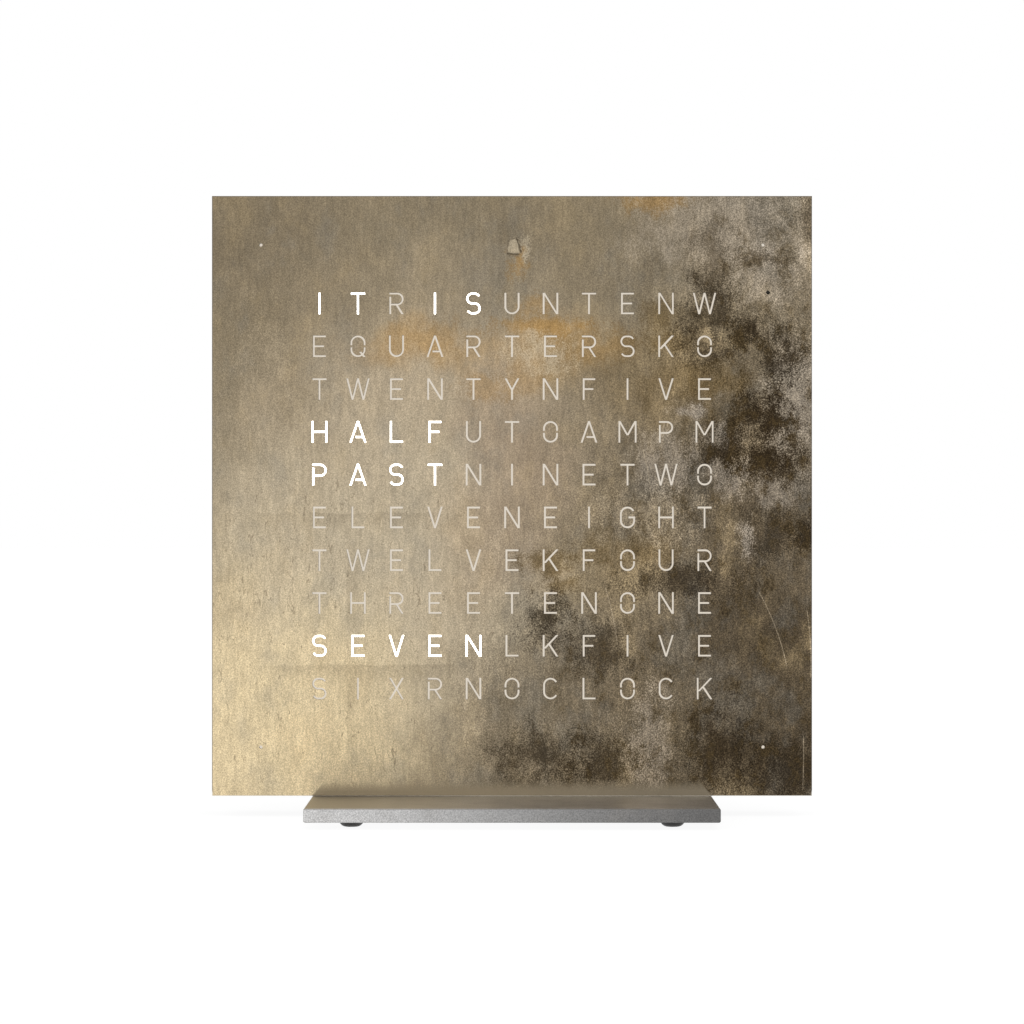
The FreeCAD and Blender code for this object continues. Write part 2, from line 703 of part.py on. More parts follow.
def rear_housing():
    """Moulded tray, open to the front, with everything behind the cover inside it."""
    shell = rounded_square(housing_size, HOUSING_CORNER_RADIUS, housing_front, housing_back)
    back_edges = edges_where(shell, lambda end: abs(end.y - housing_back) < TOUCH)
    shell = shell.makeFillet(HOUSING_EDGE_RADIUS, back_edges)
    inside = rounded_square(inside_size, INSIDE_CORNER_RADIUS, housing_front, rear_wall_front)
    shell = shell.cut(inside)
    added = [screw_boss(place) for place in frame_screw_places]
    added += [base_boss(place) for place in base_screw_places]
    added.append(standing_pad())
    shell = shell.fuse(added).removeSplitter()

    insert_end = board_back + FRAME_INSERT_LENGTH
    tip_hole = FRAME_SCREW_DIAMETER + 2 * SHANK_CLEARANCE
    holes = []
    for place in frame_screw_places:
        holes.append(rod(place, FRAME_INSERT_DIAMETER, board_back, insert_end))
        holes.append(rod(place, tip_hole, board_back, frame_screw_tip + END_CLEARANCE))
    tip_hole = BASE_SCREW_DIAMETER + 2 * SHANK_CLEARANCE
    for place in base_screw_places:
        holes.append(post(place, BASE_INSERT_DIAMETER, base_top, base_insert_top))
        holes.append(post(place, tip_hole, base_top, base_screw_tip + END_CLEARANCE))
    button_hole = BUTTON_DIAMETER + 2 * BUTTON_CLEARANCE
    holes += [rod(place, button_hole, rear_wall_front, housing_back) for place in button_places]
    holes += sound_holes()
    holes.append(socket_outline(SOCKET_CLEARANCE, rear_wall_front, housing_back))
    return shell.cut(holes)


def frame_inserts():
    """Threaded brass inserts in the bosses of the rear wall."""
    end = board_back + FRAME_INSERT_LENGTH
    bore = FRAME_SCREW_DIAMETER + 2 * THREAD_CLEARANCE
    inserts = []
    for place in frame_screw_places:
        sleeve = rod(place, FRAME_INSERT_DIAMETER, board_back, end)
        inserts.append(sleeve.cut(rod(place, bore, board_back, end)))
    return group(inserts)


def frame_screws():
    """Screws that hold the light grid and the board on the housing's bosses."""
    head_top = frame_head_seat - FRAME_HEAD_HEIGHT
    screws = []
    for place in frame_screw_places:
        x, rise = place
        head = rod(place, FRAME_HEAD_DIAMETER, head_top, frame_head_seat)
        screw = head.fuse(rod(place, FRAME_SCREW_DIAMETER, frame_head_seat, frame_screw_tip))
        head_middle = Vector(x, head_top, face_middle + rise)
        drive = cross_drive(head_middle, Vector(0, 1, 0), FRAME_HEAD_DIAMETER)
        screws.append(screw.cut(drive))
    return group(screws)


# ---------------------------------------------------------------- light grid and diffuser

def magnet_pocket(place):
    """The pocket that a magnet is glued into, from the front of the grid back."""
    hole = MAGNET_DIAMETER + 2 * MAGNET_CLEARANCE
    return rod(place, hole, grid_front, cover_back + MAGNET_GAP + MAGNET_THICKNESS)


def stud_hole(place):
    """The blind hole that a locating stud of the cover enters."""
    hole = STUD_DIAMETER + 2 * STUD_CLEARANCE
    return rod(place, hole, grid_front, cover_back + STUD_LENGTH + END_CLEARANCE)


def border_bosses():
    """The thick places of the grid's border, each round one hole, well or pocket."""
    wells = [(place, dot_well_diameter) for place in dot_places]
    wells += [(place, MAGNET_DIAMETER + 2 * MAGNET_CLEARANCE) for place in magnet_places]
    wells += [(place, STUD_DIAMETER + 2 * STUD_CLEARANCE) for place in stud_places]
    wells += [(place, FRAME_HEAD_DIAMETER + 2 * HEAD_CLEARANCE) for place in frame_screw_places]
    wells.append((sensor_place, sensor_well_diameter))
    return [rod(place, size + 2 * BOSS_WALL, grid_front, board_front) for place, size in wells]


def light_grid():
    """White moulding with a cell for each letter, a well for each dot and a hollow border."""
    slab = rounded_square(grid_size, INSIDE_CORNER_RADIUS, grid_front, board_front)
    cells_width = columns * column_pitch + 2 * GRID_RIM
    cells_height = rows * row_pitch + 2 * GRID_RIM
    hollow_front = grid_front + GRID_SKIN
    inner_size = grid_size - 2 * GRID_RIM
    hollow = centred_block((0, 0), inner_size, inner_size, hollow_front, board_front)
    hollow = hollow.cut(centred_block((0, 0), cells_width, cells_height, hollow_front, board_front))
    hollow = hollow.cut(border_bosses())
    slab = slab.cut(hollow)

    cell_width = column_pitch - GRID_WEB
    cell_height = row_pitch - GRID_WEB
    cuts = [
        centred_block(place, cell_width, cell_height, grid_front, board_front)
        for place in cell_places]
    cuts += [rod(place, dot_well_diameter, grid_front, board_front) for place in dot_places]
    cuts.append(rod(sensor_place, sensor_well_diameter, grid_front, board_front))
    cuts += [magnet_pocket(place) for place in magnet_places]
    cuts += [stud_hole(place) for place in stud_places]
    head_hole = FRAME_HEAD_DIAMETER + 2 * HEAD_CLEARANCE
    shank_hole = FRAME_SCREW_DIAMETER + 2 * SHANK_CLEARANCE
    cuts += [rod(place, head_hole, grid_front, frame_head_seat) for place in frame_screw_places]
    cuts += [rod(place, shank_hole, frame_head_seat, board_front) for place in frame_screw_places]
    return slab.cut(cuts)


def diffuser_sheet():
    """White translucent sheet on the front of the grid."""
    sheet = rounded_square(grid_size, INSIDE_CORNER_RADIUS, diffuser_front, grid_front)
    magnet_hole = MAGNET_DIAMETER + 2 * MAGNET_CLEARANCE
    stud_clear = STUD_DIAMETER + 2 * STUD_CLEARANCE
    holes = [rod(place, magnet_hole, diffuser_front, grid_front) for place in magnet_places]
    holes += [rod(place, stud_clear, diffuser_front, grid_front) for place in stud_places]
    holes.append(rod(sensor_place, SENSOR_SHEET_HOLE, diffuser_front, grid_front))
    return sheet.cut(holes)


# ---------------------------------------------------------------- board and what is on it

def led_board():
    """Circuit board behind the light grid."""
    board = rounded_square(board_size, INSIDE_CORNER_RADIUS, board_front, board_back)
    hole = FRAME_SCREW_DIAMETER + 2 * SHANK_CLEARANCE
    return board.cut([rod(place, hole, board_front, board_back) for place in frame_screw_places])


def leds():
    """One LED in each light cell and each dot well, facing forward."""
    top = board_front - LED_HEIGHT
    lamps = []
    for place in cell_places + dot_places:
        lamp = centred_block(place, LED_WIDTH, LED_DEPTH, top, board_front)
        lamps.append(lamp.cut(rod(place, LED_WINDOW_DIAMETER, top, top + LED_WINDOW_SINK)))
    return group(lamps)


def light_sensor():
    """Sensor behind its own small hole, which dims the letters in a dark room."""
    top = board_front - SENSOR_HEIGHT
    return centred_block(sensor_place, SENSOR_WIDTH, SENSOR_LENGTH, top, board_front)


def on_board(place, width, height, thickness):
    """A box on the back of the board."""
    return centred_block(place, width, height, board_back, board_back + thickness)


def chip(place, width, height, thickness, legs_level, legs_upright, pitch):
    """A chip body with flat legs on its upper and lower sides, and on its left and right sides."""
    x, rise = place
    body = on_board(place, width, height, thickness)
    legs = []
    for index in range(legs_level):
        along = x + (index - (legs_level - 1) / 2) * pitch
        legs.append(on_board((along, rise), LEG_WIDTH, height + 2 * LEG_REACH, LEG_THICKNESS))
    for index in range(legs_upright):
        along = rise + (index - (legs_upright - 1) / 2) * pitch
        legs.append(on_board((x, along), width + 2 * LEG_REACH, LEG_WIDTH, LEG_THICKNESS))
    return body.fuse(legs).removeSplitter()


def controller_chip():
    """Microcontroller that keeps the time and chooses the words."""
    size = CONTROLLER_SIZE
    return chip(
        (0, controller_rise), size, size, CONTROLLER_HEIGHT,
        CONTROLLER_LEGS, CONTROLLER_LEGS, LEG_PITCH)


def led_drivers():
    """Driver chips in a row, one for each block of letters."""
    spacing = matrix_span / DRIVER_COUNT
    rise = board_edge - DRIVER_DROP
    places = [((index - (DRIVER_COUNT - 1) / 2) * spacing, rise) for index in range(DRIVER_COUNT)]
    return group([
        chip(place, DRIVER_LENGTH, DRIVER_WIDTH, DRIVER_HEIGHT, DRIVER_LEGS, 0, DRIVER_PITCH)
        for place in places])


def clock_crystal():
    """Quartz crystal in its can, beside the controller."""
    x = -(CONTROLLER_SIZE / 2 + CRYSTAL_GAP + CRYSTAL_LENGTH / 2)
    can = on_board((x, controller_rise), CRYSTAL_LENGTH, CRYSTAL_WIDTH, CRYSTAL_HEIGHT)
    return can.makeFillet(CRYSTAL_CORNER_RADIUS, edges_along(can, Vector(0, 1, 0)))


def power_regulator():
    """Voltage regulator near the power socket."""
    return chip(
        (REGULATOR_X, socket_rise), REGULATOR_WIDTH, REGULATOR_DEPTH, REGULATOR_HEIGHT,
        REGULATOR_LEGS, 0, REGULATOR_PITCH)


def capacitors():
    """Upright electrolytic capacitors near the power socket."""
    cans = []
    for index in range(CAPACITOR_COUNT):
        place = (CAPACITOR_X - index * CAPACITOR_SPACING, socket_rise)
        cans.append(rod(place, CAPACITOR_DIAMETER, board_back, board_back + CAPACITOR_HEIGHT))
    return group(cans)


def resistors():
    """A row of small resistors, some for each column of letters."""
    count = RESISTORS_PER_COLUMN * columns
    spacing = column_pitch / RESISTORS_PER_COLUMN
    chips = []
    for index in range(count):
        place = ((index - (count - 1) / 2) * spacing, -RESISTOR_DROP)
        chips.append(on_board(place, RESISTOR_WIDTH, RESISTOR_LENGTH, RESISTOR_HEIGHT))
    return group(chips)


def buzzer():
    """Round buzzer for the alarm, behind the sound holes."""
    top = board_back + BUZZER_HEIGHT
    can = rod(buzzer_place, BUZZER_DIAMETER, board_back, top)
    can = can.makeFillet(BUZZER_EDGE_RADIUS, edges_where(can, lambda end: abs(end.y - top) < TOUCH))
    return can.cut(rod(buzzer_place, BUZZER_HOLE_DIAMETER, top - BUZZER_CUP, top))


def cell_holder():
    """Holder of the back-up cell."""
    inner = CELL_DIAMETER + 2 * CELL_CLEARANCE
    outer = inner + 2 * HOLDER_WALL
    holder = on_board(cell_place, outer, outer, HOLDER_FLOOR + CELL_THICKNESS)
    floor = board_back + HOLDER_FLOOR
    return holder.cut(rod(cell_place, inner, floor, floor + CELL_THICKNESS))


def coin_cell():
    """Cell that keeps the time when the power is off."""
    bottom = board_back + HOLDER_FLOOR
    return rod(cell_place, CELL_DIAMETER, bottom, bottom + CELL_THICKNESS)


def cell_clip():
    """Spring strap across the cell, turned down over both sides of its holder."""
    outer = CELL_DIAMETER + 2 * CELL_CLEARANCE + 2 * HOLDER_WALL
    top = HOLDER_FLOOR + CELL_THICKNESS
    strap = on_board(cell_place, outer + 2 * CLIP_THICKNESS, CLIP_WIDTH, top + CLIP_THICKNESS)
    return strap.cut(on_board(cell_place, outer, CLIP_WIDTH, top))


# ---------------------------------------------------------------- power socket

def power_socket():
    """Metal shell of the power socket, upright on the board with its mouth in the rear wall."""
    mouth = housing_back - SOCKET_SINK
    shell = socket_outline(0, board_back, mouth)
    return shell.cut(socket_outline(-SOCKET_WALL, board_back, mouth))


def socket_tongue():
    """Plastic insert of the socket: a floor that closes the shell, and the tongue with its contacts."""
    floor = socket_outline(-SOCKET_WALL, board_back, board_back + TONGUE_BASE)
    end = housing_back - SOCKET_SINK - TONGUE_SINK
    tongue = centred_block((0, socket_rise), TONGUE_WIDTH, TONGUE_THICKNESS, board_back, end)
    return floor.fuse(tongue).removeSplitter()


# ---------------------------------------------------------------- push buttons

dome_top = board_back + SWITCH_FLOOR + DOME_RISE + DOME_THICKNESS
stem_end = dome_top + DOME_GAP + BUTTON_TRAVEL
switch_bore = STEM_DIAMETER + 2 * STEM_CLEARANCE


def key_switches():
    """Switch bodies on the board, each open at the back for its button's stem."""
    bodies = []
    for place in button_places:
        body = on_board(place, SWITCH_SIZE, SWITCH_SIZE, SWITCH_HEIGHT)
        floor = board_back + SWITCH_FLOOR
        bodies.append(body.cut(rod(place, switch_bore, floor, board_back + SWITCH_HEIGHT)))
    return group(bodies)


def switch_domes():
    """Snap domes at the bottom of the switches."""
    rim = switch_bore / 2
    seat = board_back + SWITCH_FLOOR
    domes = []
    for x, rise in button_places:
        middle = Vector(x, seat, face_middle + rise)

        def cap(lift):
            """A curved cap on the switch floor, up to the lift."""
            radius = (rim * rim + lift * lift) / (2 * lift)
            ball = Part.makeSphere(radius, middle + Vector(0, lift - radius, 0))
            slice_ = Part.makeCylinder(rim, lift, middle, Vector(0, 1, 0))
            return ball.common(slice_)
        domes.append(cap(DOME_RISE + DOME_THICKNESS).cut(cap(DOME_RISE)))
    return group(domes)


def push_button(place):
    """Button cap, the flange that keeps it in the housing, and the stem that works its switch."""
    flange_back = rear_wall_front - FLANGE_GAP
    cap_back = housing_back + BUTTON_PROUD
    cap = rod(place, BUTTON_DIAMETER, flange_back, cap_back)
    cap = cap.makeFillet(
        BUTTON_EDGE_RADIUS, edges_where(cap, lambda end: abs(end.y - cap_back) < TOUCH))
    flange = rod(place, FLANGE_DIAMETER, flange_back - FLANGE_THICKNESS, flange_back)
    plunger = rod(place, STEM_DIAMETER, stem_end, flange_back - FLANGE_THICKNESS)
    return cap.fuse([flange, plunger]).removeSplitter()


# ---------------------------------------------------------------- build and save

BUILDERS = {
    "base_plate": base_plate,
    "base_feet": base_feet,
    "base_screws": base_screws,
    "base_inserts": base_inserts,
    "front_cover": front_cover,
    "cover_studs": cover_studs,
    "cover_magnets": cover_magnets,
    "rear_housing": rear_housing,
    "frame_inserts": frame_inserts,
    "frame_screws": frame_screws,
    "light_grid": light_grid,
    "diffuser_sheet": diffuser_sheet,
    "led_board": led_board,
    "leds": leds,
    "light_sensor": light_sensor,
    "controller_chip": controller_chip,
    "led_drivers": led_drivers,
    "clock_crystal": clock_crystal,
    "power_regulator": power_regulator,
    "capacitors": capacitors,
    "resistors": resistors,
    "buzzer": buzzer,
    "cell_holder": cell_holder,
    "coin_cell": coin_cell,
    "cell_clip": cell_clip,
    "power_socket": power_socket,
    "socket_tongue": socket_tongue,
    "key_switches": key_switches,
    "switch_domes": switch_domes,
}


def build():
    """Every node's shape by its name."""
    nodes = {name: make() for name, make in BUILDERS.items()}
    for name, place in zip(BUTTON_NAMES, button_places):
        nodes[name] = push_button(place)
    return nodes


os.makedirs("parts", exist_ok=True)
for name, shape in build().items():
    shape.exportStep("parts/" + name + ".step")
    print(f"{name}: {len(shape.Solids)} solids, {shape.Volume:.1f} mm3, valid {shape.isValid()}")
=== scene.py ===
# %% [markdown]
# A desk clock that tells the time in lit words. Its face is a steel sheet laid with metal leaf and
# then patinated, cut through with letters. It hangs in front of a black moulded housing, and both
# stand on a small square plate of blasted stainless steel.
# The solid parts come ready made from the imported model. This file gives each of them its finish,
# adds the pools of light behind the lit letters, and sets up the studio.

# %% Load the model
from math import pi, radians

import bpy
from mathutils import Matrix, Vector


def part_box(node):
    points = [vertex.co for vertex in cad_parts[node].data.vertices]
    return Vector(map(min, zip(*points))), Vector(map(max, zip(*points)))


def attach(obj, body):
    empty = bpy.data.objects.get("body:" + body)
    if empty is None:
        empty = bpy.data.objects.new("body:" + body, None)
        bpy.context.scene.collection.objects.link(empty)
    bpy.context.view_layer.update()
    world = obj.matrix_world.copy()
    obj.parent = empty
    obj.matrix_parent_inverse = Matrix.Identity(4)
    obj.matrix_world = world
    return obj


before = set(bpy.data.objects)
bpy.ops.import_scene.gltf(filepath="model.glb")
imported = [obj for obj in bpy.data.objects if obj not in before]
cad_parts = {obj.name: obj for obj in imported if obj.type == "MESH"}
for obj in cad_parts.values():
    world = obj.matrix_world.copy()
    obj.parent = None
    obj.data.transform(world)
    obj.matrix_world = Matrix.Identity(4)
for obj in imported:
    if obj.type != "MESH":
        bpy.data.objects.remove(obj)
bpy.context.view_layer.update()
MM = 0.001

# %% [markdown]
# Everything is placed from the model's own boxes. The face is the front of the cover sheet, and
# the middle of the face is the zero point of its patina. The letters stand on a regular grid.

# %% Places on the clock
cover_low, cover_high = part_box("front_cover")
plate_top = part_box("base_plate")[1].z
diffuser_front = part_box("diffuser_sheet")[0].y
face_middle = Vector((0, cover_low.y, (cover_low.z + cover_high.z) / 2))
face_size = cover_high.x - cover_low.x
print("the face is", round(face_size / MM, 2), "mm wide, its middle", round(face_middle.z / MM, 2), "mm up")

# %% [markdown]
# The camera comes first, because every finish is judged through it. It looks level along +Y, a
# little below the middle of the face, so the top of the base plate shows as a narrow strip. From
# the distance, and from the share of the frame that the face fills, follows the focal length.

# %% Camera
EYE_TO_FACE = 0.835              # metres, as all lengths are where no unit is named
EYE_BELOW_MIDDLE = 0.0036
FACE_SHARE = 600 / 1024          # of the frame's width
SENSOR_WIDTH = 36.0              # mm
camera_data = bpy.data.cameras.new("camera")
camera_data.sensor_width = SENSOR_WIDTH
camera_data.lens = SENSOR_WIDTH * FACE_SHARE * EYE_TO_FACE / face_size
camera_data.clip_start = 0.05
camera_data.clip_end = 50
camera = bpy.data.objects.new("camera", camera_data)
camera.location = (0, face_middle.y - EYE_TO_FACE, face_middle.z - EYE_BELOW_MIDDLE)
camera.rotation_euler = (radians(90), 0, 0)
bpy.context.scene.collection.objects.link(camera)
bpy.context.scene.camera = camera
bpy.context.scene.view_settings.view_transform = "Standard"
print("the lens is", round(camera_data.lens, 2), "mm")

# %% [markdown]
# All finishes are node trees. One helper adds a node, sets its options, and fills its inputs with
# values or with the outputs of other nodes. Colours are written as the sRGB hex values that a
# colour picker shows, and turned to the linear values that the renderer works in.

# %% Helpers for node trees
COLOUR_A = 6                     # the colour sockets of a Mix node
COLOUR_B = 7
COLOUR_OUT = 2


def add(tree, kind, inputs, **settings):
    """Add a node to a tree. Inputs go by name or number, and are values or other nodes' outputs."""
    node = tree.nodes.new(kind)
    for name, value in settings.items():
        setattr(node, name, value)
    for name, value in inputs.items():
        socket = node.inputs[name]
        if isinstance(value, bpy.types.NodeSocket):
            tree.links.new(value, socket)
        else:
            socket.default_value = value
    return node


def linear(hex_colour):
    """The linear RGBA values of an sRGB colour such as #8a7d66."""
    channels = [int(hex_colour[start:start + 2], 16) / 255 for start in (1, 3, 5)]
    bright = [c / 12.92 if c <= 0.04045 else ((c + 0.055) / 1.055) ** 2.4 for c in channels]
    return (*bright, 1.0)


def new_material(name, **values):
    """A material with one Principled shader, whose named sockets take values. Returns its tree too."""
    material = bpy.data.materials.new(name)
    material.use_nodes = True
    tree = material.node_tree
    tree.nodes.clear()
    shader = add(tree, "ShaderNodeBsdfPrincipled", {
        socket.replace("_", " "): value for socket, value in values.items()})
    add(tree, "ShaderNodeOutputMaterial", {"Surface": shader.outputs[0]})
    return material, tree, shader


print("the mid grey #808080 is", round(linear("#808080")[0], 3), "in linear light")

# %% [markdown]
# A few more helpers say what nearly every finish needs: where a point is in millimetres, which way
# the surface faces there, a random field whose features have a real size, and one tone laid over
# another where a field is high. The last two give the shader its tone, roughness and relief, and
# put the finish on the model's nodes.

# %% Helpers for finishes
NOISE_LOW = 0.3                  # nearly all of a noise lies between these two
NOISE_HIGH = 0.7
NOISE_TURN = (0.6, 0.4, 0.9)     # comes after the scale, and hides only the noise's square lattice
NOISE_SHIFT = 7.3                # sets fields of different sizes apart


def millimetres(tree, zero=(0, 0, 0)):
    """The place on the object in millimetres from a zero point."""
    place = add(tree, "ShaderNodeTexCoord", {}).outputs["Object"]
    away = add(tree, "ShaderNodeVectorMath", {0: place, 1: zero}, operation="SUBTRACT").outputs[0]
    return add(tree, "ShaderNodeVectorMath", {0: away, "Scale": 1 / MM}, operation="SCALE").outputs[0]


def facing(tree):
    """How far the surface faces right, back and up, each from -1 to 1."""
    direction = add(tree, "ShaderNodeTexCoord", {}).outputs["Normal"]
    return add(tree, "ShaderNodeSeparateXYZ", {0: direction}).outputs


def random_field(tree, spot, sizes, low, high, detail=2.0, rough=0.6):
    """A random field from low to high. Its features have these sizes in mm along x, y and z."""
    place = add(tree, "ShaderNodeMapping", {
        "Vector": spot, "Scale": [1 / size for size in sizes], "Rotation": NOISE_TURN,
        "Location": [NOISE_SHIFT * size for size in sizes]})
    noise = add(tree, "ShaderNodeTexNoise", {
        "Vector": place.outputs[0], "Scale": 1.0, "Detail": detail, "Roughness": rough})
    return add(tree, "ShaderNodeMapRange", {
        "Value": noise.outputs[0], "From Min": NOISE_LOW, "From Max": NOISE_HIGH,
        "To Min": low, "To Max": high}).outputs[0]


def layer(tree, below, colour, field, start, full, strength):
    """Lay a tone over another one, from none where a field is at start to its strength at full."""
    mask = add(tree, "ShaderNodeMapRange", {
        "Value": field, "From Min": start, "From Max": full, "To Max": strength},
        interpolation_type="SMOOTHSTEP")
    return add(tree, "ShaderNodeMix", {0: mask.outputs[0], COLOUR_A: below, COLOUR_B: colour},
               data_type="RGBA").outputs[COLOUR_OUT]


def finish(tree, shader, tone, rough, height, depth):
    """Give a shader its tone and roughness, and a relief of a depth in millimetres."""
    tree.links.new(tone, shader.inputs["Base Color"])
    tree.links.new(rough, shader.inputs["Roughness"])
    relief = add(tree, "ShaderNodeBump", {"Height": height, "Distance": depth * MM, "Strength": 1.0})
    tree.links.new(relief.outputs[0], shader.inputs["Normal"])


def cover_nodes(material, *names):
    """Put a material on every slot of some of the model's nodes."""
    for name in names:
        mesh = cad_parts[name].data
        if not mesh.materials:
            mesh.materials.append(None)
        for index in range(len(mesh.materials)):
            mesh.materials[index] = material
    print(material.name, "covers", ", ".join(names))


print("the nodes to cover are", ", ".join(sorted(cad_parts)))

# %% [markdown]
# The studio is plain: a pale floor and a white world. The floor is white where the camera or a
# mirror ray sees it, but it keeps a soft shadow under the plate. A low softbox near the left of the
# clock makes the steel a little brighter on that side.

# %% Floor
FLOOR_REACH = 6.0
FLOOR_ALBEDO = "#f4f4f4"
FLOOR_GLOW = 1.05
FLOOR_GLOW_SHARE = 0.88          # of the floor's seen brightness that no shadow takes away


def seen_directly(tree):
    """1 for camera, mirror and transmission rays, and 0 for soft light."""
    path = add(tree, "ShaderNodeLightPath", {})
    either = add(tree, "ShaderNodeMath", {
        0: path.outputs["Is Camera Ray"], 1: path.outputs["Is Glossy Ray"]}, operation="MAXIMUM")
    return add(tree, "ShaderNodeMath", {
        0: either.outputs[0], 1: path.outputs["Is Transmission Ray"]}, operation="MAXIMUM").outputs[0]


floor_material = bpy.data.materials.new("matt_white_paper")
floor_material.use_nodes = True
tree = floor_material.node_tree
tree.nodes.clear()
paper = add(tree, "ShaderNodeBsdfDiffuse", {"Color": linear(FLOOR_ALBEDO)})
glow = add(tree, "ShaderNodeEmission", {"Color": (1, 1, 1, 1), "Strength": FLOOR_GLOW})
share = add(tree, "ShaderNodeMath", {0: seen_directly(tree), 1: FLOOR_GLOW_SHARE}, operation="MULTIPLY")
floor_mix = add(tree, "ShaderNodeMixShader", {0: share.outputs[0], 1: paper.outputs[0], 2: glow.outputs[0]})
add(tree, "ShaderNodeOutputMaterial", {"Surface": floor_mix.outputs[0]})
floor_mesh = bpy.data.meshes.new("floor")
corners = [(x * FLOOR_REACH, y * FLOOR_REACH, 0) for x, y in ((-1, -1), (1, -1), (1, 1), (-1, 1))]
floor_mesh.from_pydata(corners, [], [(0, 1, 2, 3)])
floor_mesh.materials.append(floor_material)
floor = bpy.data.objects.new("floor", floor_mesh)
bpy.context.scene.collection.objects.link(floor)
print("the floor is", 2 * FLOOR_REACH, "m wide")

# %% World
AMBIENT = 0.85                   # the world's strength for everything but what is seen
world = bpy.data.worlds.new("white_studio")
world.use_nodes = True
world.node_tree.nodes.clear()
tree = world.node_tree
strength = add(tree, "ShaderNodeMapRange", {"Value": seen_directly(tree), "To Min": AMBIENT, "To Max": 1.0})
sky = add(tree, "ShaderNodeBackground", {"Color": (1, 1, 1, 1), "Strength": strength.outputs[0]})
add(tree, "ShaderNodeOutputWorld", {"Surface": sky.outputs[0]})
bpy.context.scene.world = world
print("the world is seen at a strength of 1 and lights the clock at", AMBIENT)


# %% Lamps
def softbox(name, place, aim, size, power):
    """A square lamp that faces a point and that the camera doesn't see."""
    data = bpy.data.lights.new(name, "AREA")
    data.shape = "SQUARE"
    data.size = size
    data.energy = power
    lamp = bpy.data.objects.new(name, data)
    lamp.location = place
    lamp.rotation_euler = (Vector(aim) - Vector(place)).to_track_quat("-Z", "Y").to_euler()
    lamp.visible_camera = False
    bpy.context.scene.collection.objects.link(lamp)
    print(name, "gives", power, "W")


softbox("low_left_softbox", place=(-0.17, -0.26, 0.09), aim=(-0.04, -0.03, 0.03), size=0.16, power=0.08)
softbox("overhead_softbox", place=(0.15, -0.35, 1.1), aim=face_middle, size=0.8, power=2.0)

# %% [markdown]
# The face is the clock's main piece. On the real one, sheets of metal leaf are laid on steel and
# then aged with acids, so it runs from pale gold at the lower left through olive bronze to umber
# and near black at the right, with a few orange stains. The pale gold at the lower left is partly
# painted light too: it also stands for a low lamp at the left that brightens that corner. It could
# be painted by hand. Here it is built the way the metal ages, because that way keeps its detail at
# any distance: one ground tone, then broad soft stains, each a tone laid over the tones below it.

# %% Patina: the tones and the broad stains
PATINA = {
    "aged bronze": linear("#877a64"),
    "pale gold": linear("#dac7a1"),
    "dull gold": linear("#baac93"),
    "greige": linear("#b4a48b"),
    "grey beige": linear("#908473"),
    "ochre": linear("#ae843f"),
    "rust brown": linear("#74603d"),
    "mauve brown": linear("#7d6250"),
    "ash": linear("#9b9184"),
    "umber": linear("#5d5140"),
    "black brown": linear("#2d2212"),
    "warm wash": linear("#a08c68"),
    "grey wash": linear("#8b8880"),
    "cut steel": linear("#a9a7a3"),
}

# Stains from the bottom layer up: tone, middle (x, rise), reach (across, up) and strength.
# All in millimetres from the middle of the face.
STAINS = (
    ("greige", (-14, 16), (54, 46), 0.80),
    ("dull gold", (-34, -26), (60, 58), 0.95),
    # Partly painted light: the pale gold at the lower left also stands for a low lamp at the left.
    ("pale gold", (-62, -56), (62, 52), 0.95),
    ("umber", (-66, 62), (36, 34), 0.30),
    ("umber", (70, -24), (62, 84), 0.85),
    ("umber", (14, -64), (46, 40), 0.45),
    ("umber", (24, 12), (28, 28), 0.38),
    ("umber", (18, -36), (30, 18), 0.42),
    ("mauve brown", (-1, 4), (19, 36), 0.28),
    ("grey beige", (62, 58), (44, 30), 0.30),
    ("ochre", (4, 34), (24, 12), 0.30),
    ("ochre", (-22, 36), (20, 9), 0.25),
    ("rust brown", (28, 30), (24, 14), 0.40),
    ("rust brown", (22, -12), (20, 16), 0.25),
    ("black brown", (50, 18), (12, 36), 0.35),
    ("black brown", (48, -28), (18, 20), 0.30),
    ("black brown", (62, -34), (18, 14), 0.35),
    ("black brown", (62, -60), (34, 24), 0.60),
)
print(len(STAINS), "broad stains in", len(PATINA), "tones")

# %% Patina: the small stains
# Small places that are worn paler. Their outlines follow the lighter grit.
WORN_STAINS = (
    ("ash", (45, 60), (24, 12), 0.35),
    ("ash", (57, 50), (10, 10), 0.35),
    ("ash", (65, 22), (8, 18), 0.52),
    ("ash", (40, 19), (4.5, 3.0), 0.60),
    ("ash", (47, 14), (5, 4), 0.45),
    ("ash", (61, 1), (8, 5), 0.40),
    ("ash", (49, 4), (6, 6), 0.45),
    ("ash", (34, 7), (9, 9), 0.45),
    ("greige", (30, -4), (16, 7), 0.40),
    ("ash", (52.7, -10), (2.5, 6), 0.65),
    ("grey beige", (31, -56), (6, 15), 0.75),
    ("greige", (-12, -22), (12, 32), 0.35),
    ("greige", (-56, 24), (8, 22), 0.20),
    ("dull gold", (6, 32), (9, 6), 0.55),
    ("dull gold", (3.0, 56.0), (2.6, 3.6), 0.65),
)

